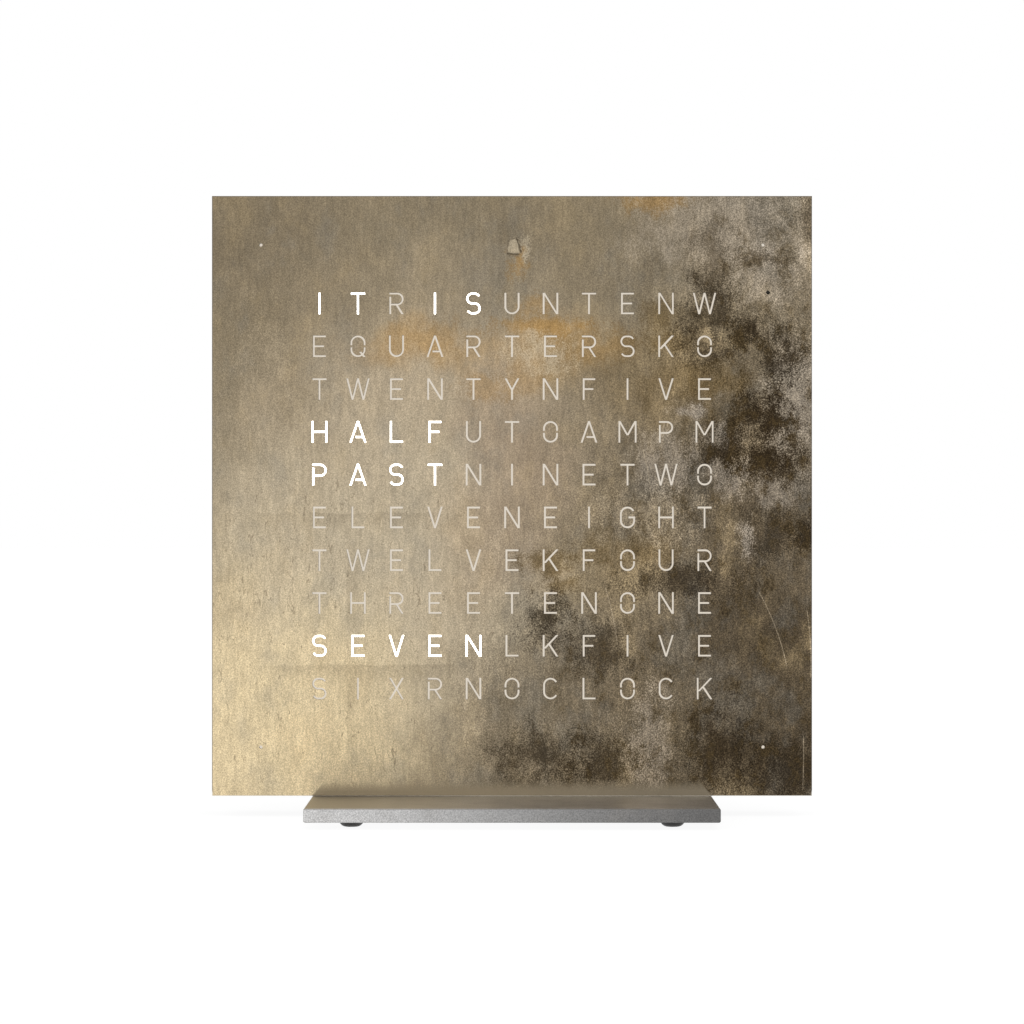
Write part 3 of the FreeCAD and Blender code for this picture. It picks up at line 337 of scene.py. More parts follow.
# Small places that are stained or eaten. Their outlines follow the darker grit.
EATEN_STAINS = (
    ("ochre", (8.3, 38), (16, 3), 0.50),
    ("ochre", (5.2, 43), (5, 3), 0.35),
    ("ochre", (-20, 35), (14, 6), 0.30),
    ("ochre", (-6, 24), (8, 4), 0.30),
    ("ochre", (4, 27), (8, 7), 0.20),
    ("ochre", (19, 34), (14, 6), 0.25),
    ("ochre", (32, 67), (11, 4), 0.45),
    ("rust brown", (33, 40), (5, 6), 0.60),
    ("rust brown", (36, 34), (10, 3), 0.60),
    ("rust brown", (38, 26), (14, 8), 0.35),
    ("rust brown", (48, 25), (12, 6), 0.55),
    ("rust brown", (8, -14.5), (10, 3.5), 0.75),
    ("rust brown", (10.5, -20), (7, 3), 0.70),
    ("rust brown", (18, -12.5), (6, 5), 0.50),
    ("rust brown", (32, -12.5), (12, 5), 0.50),
    ("umber", (45, 53), (7, 12), 0.55),
    ("umber", (57, 53.5), (9, 2.4), 0.65),
    ("umber", (67, 62), (4, 12), 0.60),
    ("black brown", (45, 42), (8, 10), 0.75),
    ("black brown", (43, 33), (9, 6), 0.70),
    ("black brown", (54, 37), (6, 5), 0.90),
    ("black brown", (61, 31), (8, 8), 0.85),
    ("black brown", (57, 18), (9, 12), 0.95),
    ("black brown", (57, 8), (13, 7), 0.95),
    ("black brown", (48, 11), (8, 7), 0.80),
    ("black brown", (57, -9), (9, 9), 0.60),
    ("black brown", (66.5, -9), (4, 4), 0.85),
    ("black brown", (38, -19), (18, 5), 0.70),
    ("black brown", (8, -28), (7, 9), 0.85),
    ("black brown", (20, -34), (9, 10), 0.60),
    ("black brown", (6, -59), (14, 9), 0.70),
    ("black brown", (20, -60), (12, 8), 0.70),
    ("black brown", (47, -57), (10, 14), 0.75),
    ("black brown", (62, -62), (14, 11), 0.70),
    ("ochre", (1.0, 52.7), (2.6, 4.8), 0.50),
)
print(len(WORN_STAINS), "worn places and", len(EATEN_STAINS), "stained or eaten ones")

# %% [markdown]
# Every stain starts as a soft oval. No stain has a clean outline, though. A rough noise pushes each
# place on the face a few millimetres sideways before the ovals are drawn, as if the acid had run
# over the sheet. The broad stains stray far, and the small ones keep near their places.

# %% Patina: ovals, and outlines that stray
STRAY_SIZE = 26.0                # mm from one bend of an outline to the next
STRAY_REACH = 36.0               # mm between the furthest an outline strays to either side
SMALL_STRAY_SIZE = 7.0
SMALL_STRAY_REACH = 10.0


def oval(tree, spot, middle, reach):
    """A soft oval field: 1 in its middle, 0 at its reach and less outside."""
    # A Mapping node would read better, but dozens of them overfill the renderer's stack, and a
    # material that does is drawn black.
    shrink = (1 / reach[0], 0, 1 / reach[1])
    back = (-middle[0] / reach[0], 0, -middle[1] / reach[1])
    inside = add(tree, "ShaderNodeVectorMath", {0: spot, 1: shrink, 2: back}, operation="MULTIPLY_ADD")
    away = add(tree, "ShaderNodeVectorMath", {0: inside.outputs[0]}, operation="LENGTH")
    return add(tree, "ShaderNodeMath", {0: 1.0, 1: away.outputs["Value"]}, operation="SUBTRACT").outputs[0]


def strayed(tree, spot, size, reach):
    """The place on the face, pushed to and fro in its plane by a noise."""
    bends = add(tree, "ShaderNodeTexNoise", {
        "Vector": spot, "Scale": 1 / size, "Detail": 6.0, "Roughness": 0.62})
    centred = add(tree, "ShaderNodeVectorMath", {
        0: bends.outputs[1], 1: (0.5, 0.5, 0.5)}, operation="SUBTRACT")
    shift = add(tree, "ShaderNodeVectorMath", {
        0: centred.outputs[0], 1: (reach, 0, reach)}, operation="MULTIPLY")
    return add(tree, "ShaderNodeVectorMath", {0: spot, 1: shift.outputs[0]}).outputs[0]


print("outlines stray up to", STRAY_REACH / 2, "mm, and small ones up to", SMALL_STRAY_REACH / 2, "mm")

# %% [markdown]
# Finer texture makes the tone lighter or darker by fractions of a stop, where one stop doubles the
# light. Clouds, mottling, wrinkles and grain are the same kind of noise at four sizes. The ageing
# bit deepest at the right, and lower down it reached further to the left, so each has one depth
# where the leaf is sound and another where it is bitten.

# %% Patina: clouds, mottling, wrinkles and grain
TEXTURES = (                     # size across and up in mm, detail, stops where sound and where bitten
    ("clouds", (13.0, 19.0), 4.0, 0.32, 0.75),
    ("mottling", (4.6, 6.0), 9.0, 0.34, 1.25),
    ("wrinkles", (0.9, 5.0), 3.0, 0.36, 0.55),
    ("grain", (0.28, 0.28), 1.0, 0.76, 1.85),
)
TEXTURE_THROUGH = 10.0           # mm through the sheet, which the flat face never crosses
TEXTURE_ROUGH = 0.7
BITE_STARTS = 0.0                # mm across at half height
BITE_FULL = 42.0
BITE_SLANT = -0.36               # mm further to the left for each mm down


def bitten(tree, spot):
    """How deep the ageing bit: 0 at the left and 1 at the right."""
    apart = add(tree, "ShaderNodeSeparateXYZ", {0: spot})
    across = add(tree, "ShaderNodeMath", {
        0: apart.outputs[2], 1: BITE_SLANT, 2: apart.outputs[0]}, operation="MULTIPLY_ADD")
    return add(tree, "ShaderNodeMapRange", {
        "Value": across.outputs[0], "From Min": BITE_STARTS, "From Max": BITE_FULL}).outputs[0]


def textures(tree, spot, bite):
    """The textures' fields by name, each from -0.5 to 0.5, and the sum of their stops."""
    fields = {}
    stops = 0.0
    for name, (across, up), detail, sound, deep in TEXTURES:
        sizes = (across, TEXTURE_THROUGH, up)
        fields[name] = random_field(tree, spot, sizes, -0.5, 0.5, detail, TEXTURE_ROUGH)
        depth = add(tree, "ShaderNodeMapRange", {"Value": bite, "To Min": sound, "To Max": deep})
        stops = add(tree, "ShaderNodeMath", {
            0: fields[name], 1: depth.outputs[0], 2: stops}, operation="MULTIPLY_ADD").outputs[0]
    return fields, stops


print(len(TEXTURES), "textures:", ", ".join(texture[0] for texture in TEXTURES))

# %% [markdown]
# The leaf comes in small squares that overlap, so straight seams cross the face, each with a soft
# shade on the side where the under sheet begins. Where the leaf dried out it cracked along thin,
# mostly upright lines, and a few hairline scratches curve across the dark side. A crack is where a
# stretched noise passes through zero, and each scratch and seam shows only within its own oval.

# %% Patina: where the seams, cracks and scratches are
SEAM_EDGE = 0.35                 # mm from the seam to its darkest place
SEAMS = (                        # 0 for upright or 2 for level, its place, where its shade ends, its oval
    (2, -3.6, -9.0, (-36, -6), (36, 12)),
    (2, -37.8, -44.0, (-30, -40), (42, 12)),
    (0, 32.0, 26.0, (30, 52), (10, 24)),
    (0, -3.4, 3.0, (-2, 58), (8, 18)),
    (0, -37.2, -33.0, (-36, -50), (7, 20)),
    (0, -37.4, -31.0, (-35, -18), (7, 16)),
    (0, 65.4, 67.5, (66, -54), (5, 14)),
)
CRACK_SIZES = (2.6, 10.0, 12.0)  # mm between cracks, and along one
CRACK_EDGE = 0.030               # how far from zero the noise still belongs to a crack
DRY_MIDDLE = (-34, -40)          # the part of the face where the leaf dried out
DRY_REACH = (52, 62)
DRY_EDGE = 0.3                   # cracks thin out below this much of the dry part's field
MOTTLING_EDGE = 0.04             # and below this much of the mottling, which breaks them up
LINE_EDGE = 0.2                  # a scratch thins out below this much of its own oval
FAR_OFF = 10.0                   # mm, well past the width of any line
SCRATCH_WIDTH = 0.16
SCRATCHES = (                    # middle and radius of each arc, and its oval
    ((5, -50), 58.0, (59, -29), (6, 13)),
    ((-28.5, -5), 60.0, (30, 6), (4, 9)),
    ((-12.7, -38), 80.0, (67, -33), (4, 9)),
    ((-40, -40), 64.0, (22, -27), (4, 8)),
    ((-100, -58), 165.6, (65, -60), (4, 7)),
)
print(len(SEAMS), "seams and", len(SCRATCHES), "scratches")


# %% Patina: how seams, cracks and scratches are drawn
def shown_within(tree, distance, field, edge):
    """A distance that grows, so that its line thins out, where a field falls below an edge."""
    inside = add(tree, "ShaderNodeMath", {0: field, 1: edge}, operation="MINIMUM")
    short = add(tree, "ShaderNodeMath", {0: edge, 1: inside.outputs[0]}, operation="SUBTRACT")
    return add(tree, "ShaderNodeMath", {0: distance, 1: short.outputs[0]}).outputs[0]


def seams(tree, spot):
    """The shade beside the seams: 1 close to a seam, and less to where its shade ends."""
    apart = add(tree, "ShaderNodeSeparateXYZ", {0: strayed(tree, spot, 12.0, 1.6)})
    broken = random_field(tree, spot, (9.0, 9.0, 9.0), 0.2, 2.0, 4.0)
    shade = 0.0
    for axis, place, end, where, reach in SEAMS:
        past = add(tree, "ShaderNodeMapRange", {
            "Value": apart.outputs[axis], "From Min": place, "From Max": end}, clamp=False).outputs[0]
        near = add(tree, "ShaderNodeMath", {
            0: past, 1: abs(end - place) / SEAM_EDGE}, operation="MULTIPLY").outputs[0]
        far = add(tree, "ShaderNodeMath", {0: 1.0, 1: past}, operation="SUBTRACT").outputs[0]
        band = add(tree, "ShaderNodeMath", {0: near, 1: far}, operation="MINIMUM").outputs[0]
        shown = add(tree, "ShaderNodeMath", {
            0: oval(tree, spot, where, reach), 1: broken}, operation="MULTIPLY", use_clamp=True).outputs[0]
        shown = add(tree, "ShaderNodeMath", {0: shown, 1: band}, operation="MULTIPLY").outputs[0]
        shade = add(tree, "ShaderNodeMath", {0: shade, 1: shown}, operation="MAXIMUM").outputs[0]
    return shade


def cracks(tree, spot):
    """How far a place is from the nearest of many thin, mostly upright cracks, from 0 on a crack."""
    ridges = random_field(tree, strayed(tree, spot, 1.6, 1.2), CRACK_SIZES, -0.5, 0.5, 2.0)
    return add(tree, "ShaderNodeMath", {0: ridges}, operation="ABSOLUTE").outputs[0]


def hairlines(tree, spot, arcs):
    """The distance to the nearest of some hairlines. Each is a stretch of a large arc."""
    nearest = FAR_OFF
    for (across, up), radius, where, reach in arcs:
        away = add(tree, "ShaderNodeVectorMath", {0: spot, 1: (across, 0, up)}, operation="DISTANCE")
        past = add(tree, "ShaderNodeMath", {0: away.outputs["Value"], 1: radius}, operation="SUBTRACT")
        distance = add(tree, "ShaderNodeMath", {0: past.outputs[0]}, operation="ABSOLUTE").outputs[0]
        distance = shown_within(tree, distance, oval(tree, spot, where, reach), LINE_EDGE)
        nearest = add(tree, "ShaderNodeMath", {0: nearest, 1: distance}, operation="MINIMUM").outputs[0]
    return nearest


# %% [markdown]
# All of it comes together in one metal. The leaf chipped at one place near the top and left a pale
# flake with a dark rim. Where the sheet stands over the plate, a band a little narrower than the
# plate is painted an even brown: a painted reflection of the plate's top. Only the front is
# patinated: the edges of the sheet, its back and the walls of the letters are bare cut steel, which
# the surface's own direction tells.

# %% Patina: the stains and the flake
STAIN_FULL = 0.75                # how far into its oval a broad stain reaches its strength
SMALL_STAIN_FULL = 0.85
GRAIN_IN_GRIT = 0.5              # share of the grain, next to the mottling, in a stain's outline
FLAKE = (0.6, 55.9)
FLAKE_REACH = (2.3, 3.1)
FLAKE_BREAKS = (                 # the torn edges of the flake, as arcs like the scratches
    ((-10.6, 52.6), 12.8, (1.6, 56.4), (1.4, 2.0)),
    ((0.4, 58.6), 4.2, (0.2, 54.2), (1.6, 1.0)),
)
BREAK_WIDTH = 0.30


def stained(tree, drift, near, bite, fields):
    """Lay all stains over the ground tone, and rust and dark pits where the ageing bit deepest."""
    tone = PATINA["aged bronze"]
    for name, middle, reach, strength in STAINS:
        tone = layer(tree, tone, PATINA[name], oval(tree, drift, middle, reach), 0.0, STAIN_FULL, strength)
    tone = layer(tree, tone, PATINA["warm wash"], fields["clouds"], 0.0, 0.45, 0.20)
    tone = layer(tree, tone, PATINA["grey wash"], fields["clouds"], 0.0, -0.45, 0.20)
    grit = add(tree, "ShaderNodeMath", {
        0: fields["grain"], 1: GRAIN_IN_GRIT, 2: fields["mottling"]}, operation="MULTIPLY_ADD").outputs[0]
    for stains, operation in ((WORN_STAINS, "ADD"), (EATEN_STAINS, "SUBTRACT")):
        for name, middle, reach, strength in stains:
            gritty = add(tree, "ShaderNodeMath", {
                0: oval(tree, near, middle, reach), 1: grit}, operation=operation).outputs[0]
            tone = layer(tree, tone, PATINA[name], gritty, 0.0, SMALL_STAIN_FULL, strength)
    pits = add(tree, "ShaderNodeMath", {0: fields["mottling"], 1: bite}, operation="MULTIPLY").outputs[0]
    tone = layer(tree, tone, PATINA["rust brown"], pits, -0.05, -0.30, 0.30)
    return layer(tree, tone, PATINA["black brown"], pits, -0.15, -0.45, 0.40)


def flaked(tree, spot, tone):
    """Lay the pale flake and its dark, torn edges over a tone."""
    flake = oval(tree, strayed(tree, spot, 1.3, 3.2), FLAKE, FLAKE_REACH)
    tone = layer(tree, tone, PATINA["umber"], flake, 0.15, 0.30, 0.35)
    tone = layer(tree, tone, PATINA["dull gold"], flake, 0.28, 0.50, 0.80)
    breaks = hairlines(tree, strayed(tree, spot, 1.0, 1.0), FLAKE_BREAKS)
    return layer(tree, tone, PATINA["black brown"], breaks, BREAK_WIDTH, BREAK_WIDTH / 3, 0.65)


print("the flake lies", FLAKE[1], "mm above the middle of the face")

# %% Patina: the marks, the painted reflection at the foot, and the rim
# The band at the foot of the face where the plate's reflection is painted:
FOOT_HALF_WIDTH = 45.4
FOOT_HEIGHT = 4.0
FOOT_SLANT = 0.9                 # the band narrows by this much for each millimetre up
RIM_TURNS = -66.0                # below this height the rim is painted bright: a painted highlight against the shade where the face meets the plate


def marked(tree, spot, drift, mottling, tone):
    """Lay the seams, the cracks and the scratches over a tone."""
    tone = layer(tree, tone, PATINA["umber"], seams(tree, spot), 0.0, 1.0, 0.22)
    dry = oval(tree, drift, DRY_MIDDLE, DRY_REACH)
    crack = shown_within(tree, cracks(tree, spot), dry, DRY_EDGE)
    crack = shown_within(tree, crack, mottling, MOTTLING_EDGE)
    tone = layer(tree, tone, PATINA["umber"], crack, CRACK_EDGE, 0.0, 0.5)
    scratches = hairlines(tree, spot, SCRATCHES)
    return layer(tree, tone, PATINA["greige"], scratches, SCRATCH_WIDTH, SCRATCH_WIDTH / 4, 0.4)


def painted_reflection_band(tree, spot):
    """The band at the foot of the face where a reflection of the plate is painted: 1 along the bottom and 0
    at its top and ends.
    """
    apart = add(tree, "ShaderNodeSeparateXYZ", {0: spot})
    up = add(tree, "ShaderNodeMath", {0: apart.outputs[2], 1: face_size / 2 / MM}).outputs[0]
    below_top = add(tree, "ShaderNodeMath", {0: up, 1: -1 / FOOT_HEIGHT, 2: 1.0}, operation="MULTIPLY_ADD")
    half_width = add(tree, "ShaderNodeMath", {
        0: up, 1: -FOOT_SLANT, 2: FOOT_HALF_WIDTH}, operation="MULTIPLY_ADD")
    out = add(tree, "ShaderNodeMath", {0: apart.outputs[0]}, operation="ABSOLUTE")
    from_end = add(tree, "ShaderNodeMath", {
        0: half_width.outputs[0], 1: out.outputs[0]}, operation="SUBTRACT")
    return add(tree, "ShaderNodeMath", {
        0: below_top.outputs[0], 1: from_end.outputs[0]}, operation="MINIMUM").outputs[0]


def edged(tree, spot, tone):
    """Paint a reflection of the plate on the foot of a toned face, darken its rim but paint its lowest
    part bright against the shade there, and leave all other sides bare steel.
    """
    across, _, up = add(tree, "ShaderNodeSeparateXYZ", {0: spot}).outputs
    # Painted reflection: the plate's top mirrored in the foot of the face, brown, a little darker to the
    # right.
    painted_with_plate_reflection = layer(tree, linear("#94866d"), linear("#857b69"), across, -46.0, 46.0, 1.0)
    tone = layer(tree, tone, painted_with_plate_reflection, painted_reflection_band(tree, spot), 0.0, 0.8, 0.95)
    # Painted highlight: below RIM_TURNS the rim is pale, against the shade where the face meets the plate.
    rim = layer(tree, PATINA["umber"], linear("#eae6de"), up, RIM_TURNS, RIM_TURNS - 1.0, 1.0)
    back = facing(tree)[1]
    tone = layer(tree, rim, tone, back, -0.75, -0.95, 1.0)
    return layer(tree, PATINA["cut steel"], tone, back, -0.3, -0.6, 1.0)


# The band at the foot is a painted reflection of the plate.
print("the foot is rubbed", FOOT_HEIGHT, "mm up")


# %% Patina: the finish
def patinated_leaf():
    """Aged metal leaf on steel: warm, uneven metal whose stains are duller than the leaf."""
    material, tree, shader = new_material("aged_metal_leaf_on_steel", Metallic=0.9)
    spot = millimetres(tree, face_middle)
    drift = strayed(tree, spot, STRAY_SIZE, STRAY_REACH)
    near = strayed(tree, spot, SMALL_STRAY_SIZE, SMALL_STRAY_REACH)
    bite = bitten(tree, drift)
    fields, stops = textures(tree, spot, bite)
    tone = stained(tree, drift, near, bite, fields)
    tone = flaked(tree, spot, tone)
    tone = marked(tree, spot, drift, fields["mottling"], tone)
    light = add(tree, "ShaderNodeMath", {0: 2.0, 1: stops}, operation="POWER").outputs[0]
    tone = add(tree, "ShaderNodeVectorMath", {0: tone, "Scale": light}, operation="SCALE").outputs[0]
    tone = edged(tree, spot, tone)
    rough = add(tree, "ShaderNodeMapRange", {
        "Value": fields["clouds"], "From Min": -0.5, "From Max": 0.5, "To Min": 0.40, "To Max": 0.54})
    height = add(tree, "ShaderNodeMath", {0: fields["grain"], 1: fields["mottling"]})
    finish(tree, shader, tone, rough.outputs[0], height.outputs[0], 0.02)
    return material


cover_nodes(patinated_leaf(), "front_cover")

# %% [markdown]
# Behind each lit letter an LED shines on the back of a milky sheet, and a round pool of light shows
# on its front. Painting the glow on the sheet would work too, but separate discs can be lit or not
# by listing words. Geometry Nodes set one thin disc on each lit cell.

# %% Which letters are lit
LIT_WORDS = (                    # row, first column and last column, from the top left, from 0
    (0, 0, 1), (0, 3, 4), (3, 0, 3), (4, 0, 3), (8, 0, 4))
ROWS = 10
COLUMNS = 11
MATRIX_INSET = 0.02415           # outermost letter middles to the sheet's edges
matrix_span = face_size - 2 * MATRIX_INSET
lit_places = [
    (
        (column / (COLUMNS - 1) - 0.5) * matrix_span,
        (cover_high.y + diffuser_front) / 2,
        face_middle.z + (0.5 - row / (ROWS - 1)) * matrix_span,
    )
    for row, first, last in LIT_WORDS for column in range(first, last + 1)]
print(len(lit_places), "letters are lit")

# %% Pools of light
POOL_RADIUS = 0.0038
POOL_THICKNESS = 0.0001
POOL_SIDES = 40
GLOW_STRENGTH = 5.0              # high enough for the walls of a letter to look lit from the side too


def lit_opal():
    """Opal sheet with an LED close behind it: even and white."""
    return new_material(
        "lit_opal_acrylic", Base_Color=linear("#efe9dd"), Roughness=0.6, IOR=1.49,
        Emission_Color=linear("#fffdf8"), Emission_Strength=GLOW_STRENGTH)[0]


def pools_tree(material):
    """A node group that sets a disc, facing forward, on every point of a mesh."""
    group = bpy.data.node_groups.new("pools_of_light", "GeometryNodeTree")
    for name, kind in (("Places", "NodeSocketGeometry"), ("Radius", "NodeSocketFloat"),
                       ("Thickness", "NodeSocketFloat"), ("Sides", "NodeSocketInt")):
        group.interface.new_socket(name, in_out="INPUT", socket_type=kind)
    group.interface.new_socket("Discs", in_out="OUTPUT", socket_type="NodeSocketGeometry")
    given = add(group, "NodeGroupInput", {})
    disc = add(group, "GeometryNodeMeshCylinder", {
        "Vertices": given.outputs["Sides"], "Radius": given.outputs["Radius"],
        "Depth": given.outputs["Thickness"]})
    upright = add(group, "GeometryNodeTransform", {
        "Geometry": disc.outputs["Mesh"], "Rotation": (pi / 2, 0, 0)})
    copies = add(group, "GeometryNodeInstanceOnPoints", {
        "Points": given.outputs["Places"], "Instance": upright.outputs[0]})
    real = add(group, "GeometryNodeRealizeInstances", {"Geometry": copies.outputs[0]})
    named = add(group, "GeometryNodeSetMaterial", {"Geometry": real.outputs[0], "Material": material})
    add(group, "NodeGroupOutput", {"Discs": named.outputs[0]})
    return group


def grown(name, points, group, values):
    """Run a node group on loose points and keep the result as a plain mesh object."""
    seed_mesh = bpy.data.meshes.new(name + "_points")
    seed_mesh.from_pydata(points, [], [])
    carrier = bpy.data.objects.new(name + "_carrier", seed_mesh)
    bpy.context.scene.collection.objects.link(carrier)
    modifier = carrier.modifiers.new("grow", "NODES")
    modifier.node_group = group
    identifiers = {item.name: item.identifier for item in group.interface.items_tree}
    for label, value in values.items():
        modifier[identifiers[label]] = value
    evaluated = carrier.evaluated_get(bpy.context.evaluated_depsgraph_get())
    mesh = bpy.data.meshes.new_from_object(evaluated)
    mesh.name = name
    bpy.data.objects.remove(carrier)
    piece = bpy.data.objects.new(name, mesh)
    bpy.context.scene.collection.objects.link(piece)
    print(name, "has", len(mesh.polygons), "faces")
    return piece


pools = grown("light_pools", lit_places, pools_tree(lit_opal()), {
    "Radius": POOL_RADIUS, "Thickness": POOL_THICKNESS, "Sides": POOL_SIDES})
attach(pools, "clock")


# %% [markdown]
# The milky sheet itself is seen through the unlit letters. It is given a faint glow of its own,
# a painted light that keeps it a warm off-white, as stray light from the lit cells and the room would.

# %% Milky sheet
PAINTED_STRAY_GLOW = 0.9


def opal_film():
    """Extruded opal polycarbonate: smooth and soft, with faint clouds where it is thicker, and a faint
    painted glow.
    """
    # The emission is a painted glow that stands in for stray light.
    material, tree, shader = new_material(
        "opal_polycarbonate_film", IOR=1.58, Emission_Color=linear("#dcd3c6"), Emission_Strength=PAINTED_STRAY_GLOW)
    spot = millimetres(tree)
    clouds = random_field(tree, spot, (7.0, 7.0, 7.0), 0.0, 1.0, 3.0)
    tone = layer(tree, linear("#8f8a80"), linear("#a19c92"), clouds, 0.0, 1.0, 0.6)
    rough = random_field(tree, spot, (3.0, 3.0, 3.0), 0.55, 0.68)
    finish(tree, shader, tone, rough, random_field(tree, spot, (0.6, 0.6, 0.6), 0.0, 1.0), 0.005)
    return material


cover_nodes(opal_film(), "diffuser_sheet")


# %% [markdown]
# The base plate is stainless steel, blasted with fine grit. Grit leaves thousands of tiny dents,
# which the eye sees as a salt-and-pepper speckle. Its sides are painted light at the left and dark
# at the right, as a lamp at the left would light them: painted light. Its top is a little smoother,
# so it mirrors the face, and it is painted darker at the left, a painted shade that tones down its
# reflection of the bright face there. Its broken edges are painted dark, a painted shade over the
# light that they catch.

# %% Blasted stainless steel
GRIT = (0.26, 0.26, 0.26)        # mm; real dents are about 0.1 mm, too fine to show
TOP_STARTS = 0.8                 # from here to full, a surface faces upwards enough to be the top
TOP_FULL = 0.95
TOP_COARSENESS = 0.75            # the top's roughness as a share of the edges', so it mirrors the face
EDGE_BREAK = 0.25


def blasted_steel():
    """Grit-blasted stainless steel: grey, sparkling speckle with no direction."""
    material, tree, shader = new_material("blasted_stainless_steel", Metallic=1.0)
    spot = millimetres(tree)
    across, _, height = add(tree, "ShaderNodeSeparateXYZ", {0: spot}).outputs
    # Painted light: the sides run from light at the left to dark at the right, as a lamp at the left lights
    # them.
    edges = layer(tree, linear("#cccbca"), linear("#6d6c6b"), across, -58.0, 46.0, 1.0)
    up = facing(tree)[2]
    # Painted shade: the top is darker at the left, where it mirrors the brightest part of the face.
    top = layer(tree, linear("#8c8883"), linear("#d2cec8"), across, -45.0, 0.0, 1.0)
    tone = layer(tree, edges, top, up, TOP_STARTS, TOP_FULL, 1.0)
    coarse = add(tree, "ShaderNodeMapRange", {
        "Value": up, "From Min": TOP_STARTS, "From Max": TOP_FULL,
        "To Min": 1.0, "To Max": TOP_COARSENESS}).outputs[0]
    clouds = random_field(tree, spot, (9.0, 9.0, 9.0), 0.0, 1.0, 4.0)
    tone = layer(tree, tone, linear("#8f8b86"), clouds, 0.3, 1.0, 0.25)
    speckle = random_field(tree, spot, GRIT, 0.70, 1.30, 1.0)
    tone = add(tree, "ShaderNodeVectorMath", {0: tone, "Scale": speckle}, operation="SCALE").outputs[0]
    edge_height = plate_top / MM - EDGE_BREAK / 2
    off_edge = add(tree, "ShaderNodeMath", {0: height, 1: edge_height}, operation="SUBTRACT")
    off_edge = add(tree, "ShaderNodeMath", {0: off_edge.outputs[0]}, operation="ABSOLUTE")
    # Painted shade: the broken edges are darkened over the light that they catch.
    tone = layer(tree, tone, linear("#4c4a48"), off_edge.outputs[0], EDGE_BREAK / 2, EDGE_BREAK / 4, 0.55)
    rough = random_field(tree, spot, GRIT, 0.40, 0.54)
    rough = add(tree, "ShaderNodeMath", {0: rough, 1: coarse}, operation="MULTIPLY").outputs[0]
    dents = add(tree, "ShaderNodeMath", {0: speckle, 1: coarse}, operation="MULTIPLY").outputs[0]
    finish(tree, shader, tone, rough, dents, 0.015)
    return material


cover_nodes(blasted_steel(), "base_plate")


# %% [markdown]
# The feet are self-adhesive rubber domes. Moulded rubber is nearly black and a little shiny where it
# is smooth. Low down it is painted paler in specks, a painted reflection of the pale floor.

# %% Rubber feet
def foot_rubber():
    """Moulded black polyurethane rubber: soft sheen, and a painted reflection of the floor low down."""
    material, tree, shader = new_material("moulded_black_rubber", IOR=1.52)
    spot = millimetres(tree)
    height = add(tree, "ShaderNodeSeparateXYZ", {0: spot}).outputs[2]
    specks = random_field(tree, spot, (0.5, 0.5, 0.5), -0.5, 0.5, 3.0)
    painted_floor_reflection = add(tree, "ShaderNodeMath", {0: height, 1: specks})
    # Painted reflection: the rubber is paler low down, in specks, as the pale floor mirrored in it.
    tone = layer(tree, linear("#1c1b1b"), linear("#4a4745"), painted_floor_reflection.outputs[0], 1.5, -0.3, 0.7)
    rough = random_field(tree, spot, (1.0, 1.0, 1.0), 0.40, 0.58)
    finish(tree, shader, tone, rough, specks, 0.01)
    return material


cover_nodes(foot_rubber(), "base_feet")


# %% [markdown]
# Moulded plastic copies the surface of its mould. A spark-eroded mould gives fine even pits, and
# the plastic dulls in soft patches where it cooled or was handled differently. One finish with its
# own colour, pit size and gloss serves the housing, the buttons, the white light grid and the
# black holders.

# %% Moulded plastics
def moulded_plastic(name, colour, patch_colour, pits, depth, roughness, ior):
    """Moulded plastic: even pits of a size in mm, and soft patches of a second colour."""
    material, tree, shader = new_material(name, IOR=ior)
    spot = millimetres(tree)
    patches = random_field(tree, spot, (16.0, 16.0, 16.0), 0.0, 1.0, 5.0)
    tone = layer(tree, linear(colour), linear(patch_colour), patches, 0.35, 1.0, 0.8)
    rough = random_field(tree, spot, (7.0, 7.0, 7.0), roughness - 0.06, roughness + 0.06, 4.0)
    finish(tree, shader, tone, rough, random_field(tree, spot, (pits, pits, pits), 0.0, 1.0), depth)
    return material


PLASTICS = (                     # the inputs of moulded_plastic in their order, and the nodes
    ("spark_eroded_black_abs", "#19191b", "#232326", 0.34, 0.05, 0.55, 1.53, ("rear_housing",)),
    ("satin_dark_grey_abs", "#2c2c2f", "#37373b", 0.20, 0.015, 0.42, 1.53,
     ("hour_button", "minute_button", "mode_button")),
    ("moulded_white_polystyrene", "#e9e7e0", "#dcd8cd", 0.5, 0.008, 0.45, 1.59, ("light_grid",)),
    ("glass_filled_black_nylon", "#151516", "#222122", 0.26, 0.02, 0.5, 1.53,
     ("cell_holder", "buzzer", "key_switches")),
)
for *values, nodes in PLASTICS:
    cover_nodes(moulded_plastic(*values), *nodes)

# %% [markdown]
# Small metal parts are turned, drawn or rolled, and each of these leaves fine lines one way: rings
# round a screw, lines along a drawn shell. The lines are a noise stretched across the lines, so
# one finish serves them all. The plating gives the colour: bluish zinc, yellow brass, warm nickel.

# %% Turned, drawn and rolled metals
LONG = 40.0                      # longer than any of these parts


def lined_metal(name, colour, shade, line, roughness):
    """Bright metal with fine lines. The line's sizes in mm along x, y and z are short across it."""
    material, tree, shader = new_material(name, Metallic=1.0)
    spot = millimetres(tree)
    lines = random_field(tree, spot, line, 0.0, 1.0, 3.0)
    patches = random_field(tree, spot, (1.8, 1.8, 1.8), 0.0, 1.0, 4.0)
    tone = layer(tree, linear(colour), linear(shade), patches, 0.3, 1.0, 0.7)
    tone = layer(tree, tone, linear(shade), lines, 0.45, 1.0, 0.6)
    rough = random_field(tree, spot, line, roughness - 0.06, roughness + 0.08, 3.0)
    finish(tree, shader, tone, rough, lines, 0.006)
    return material


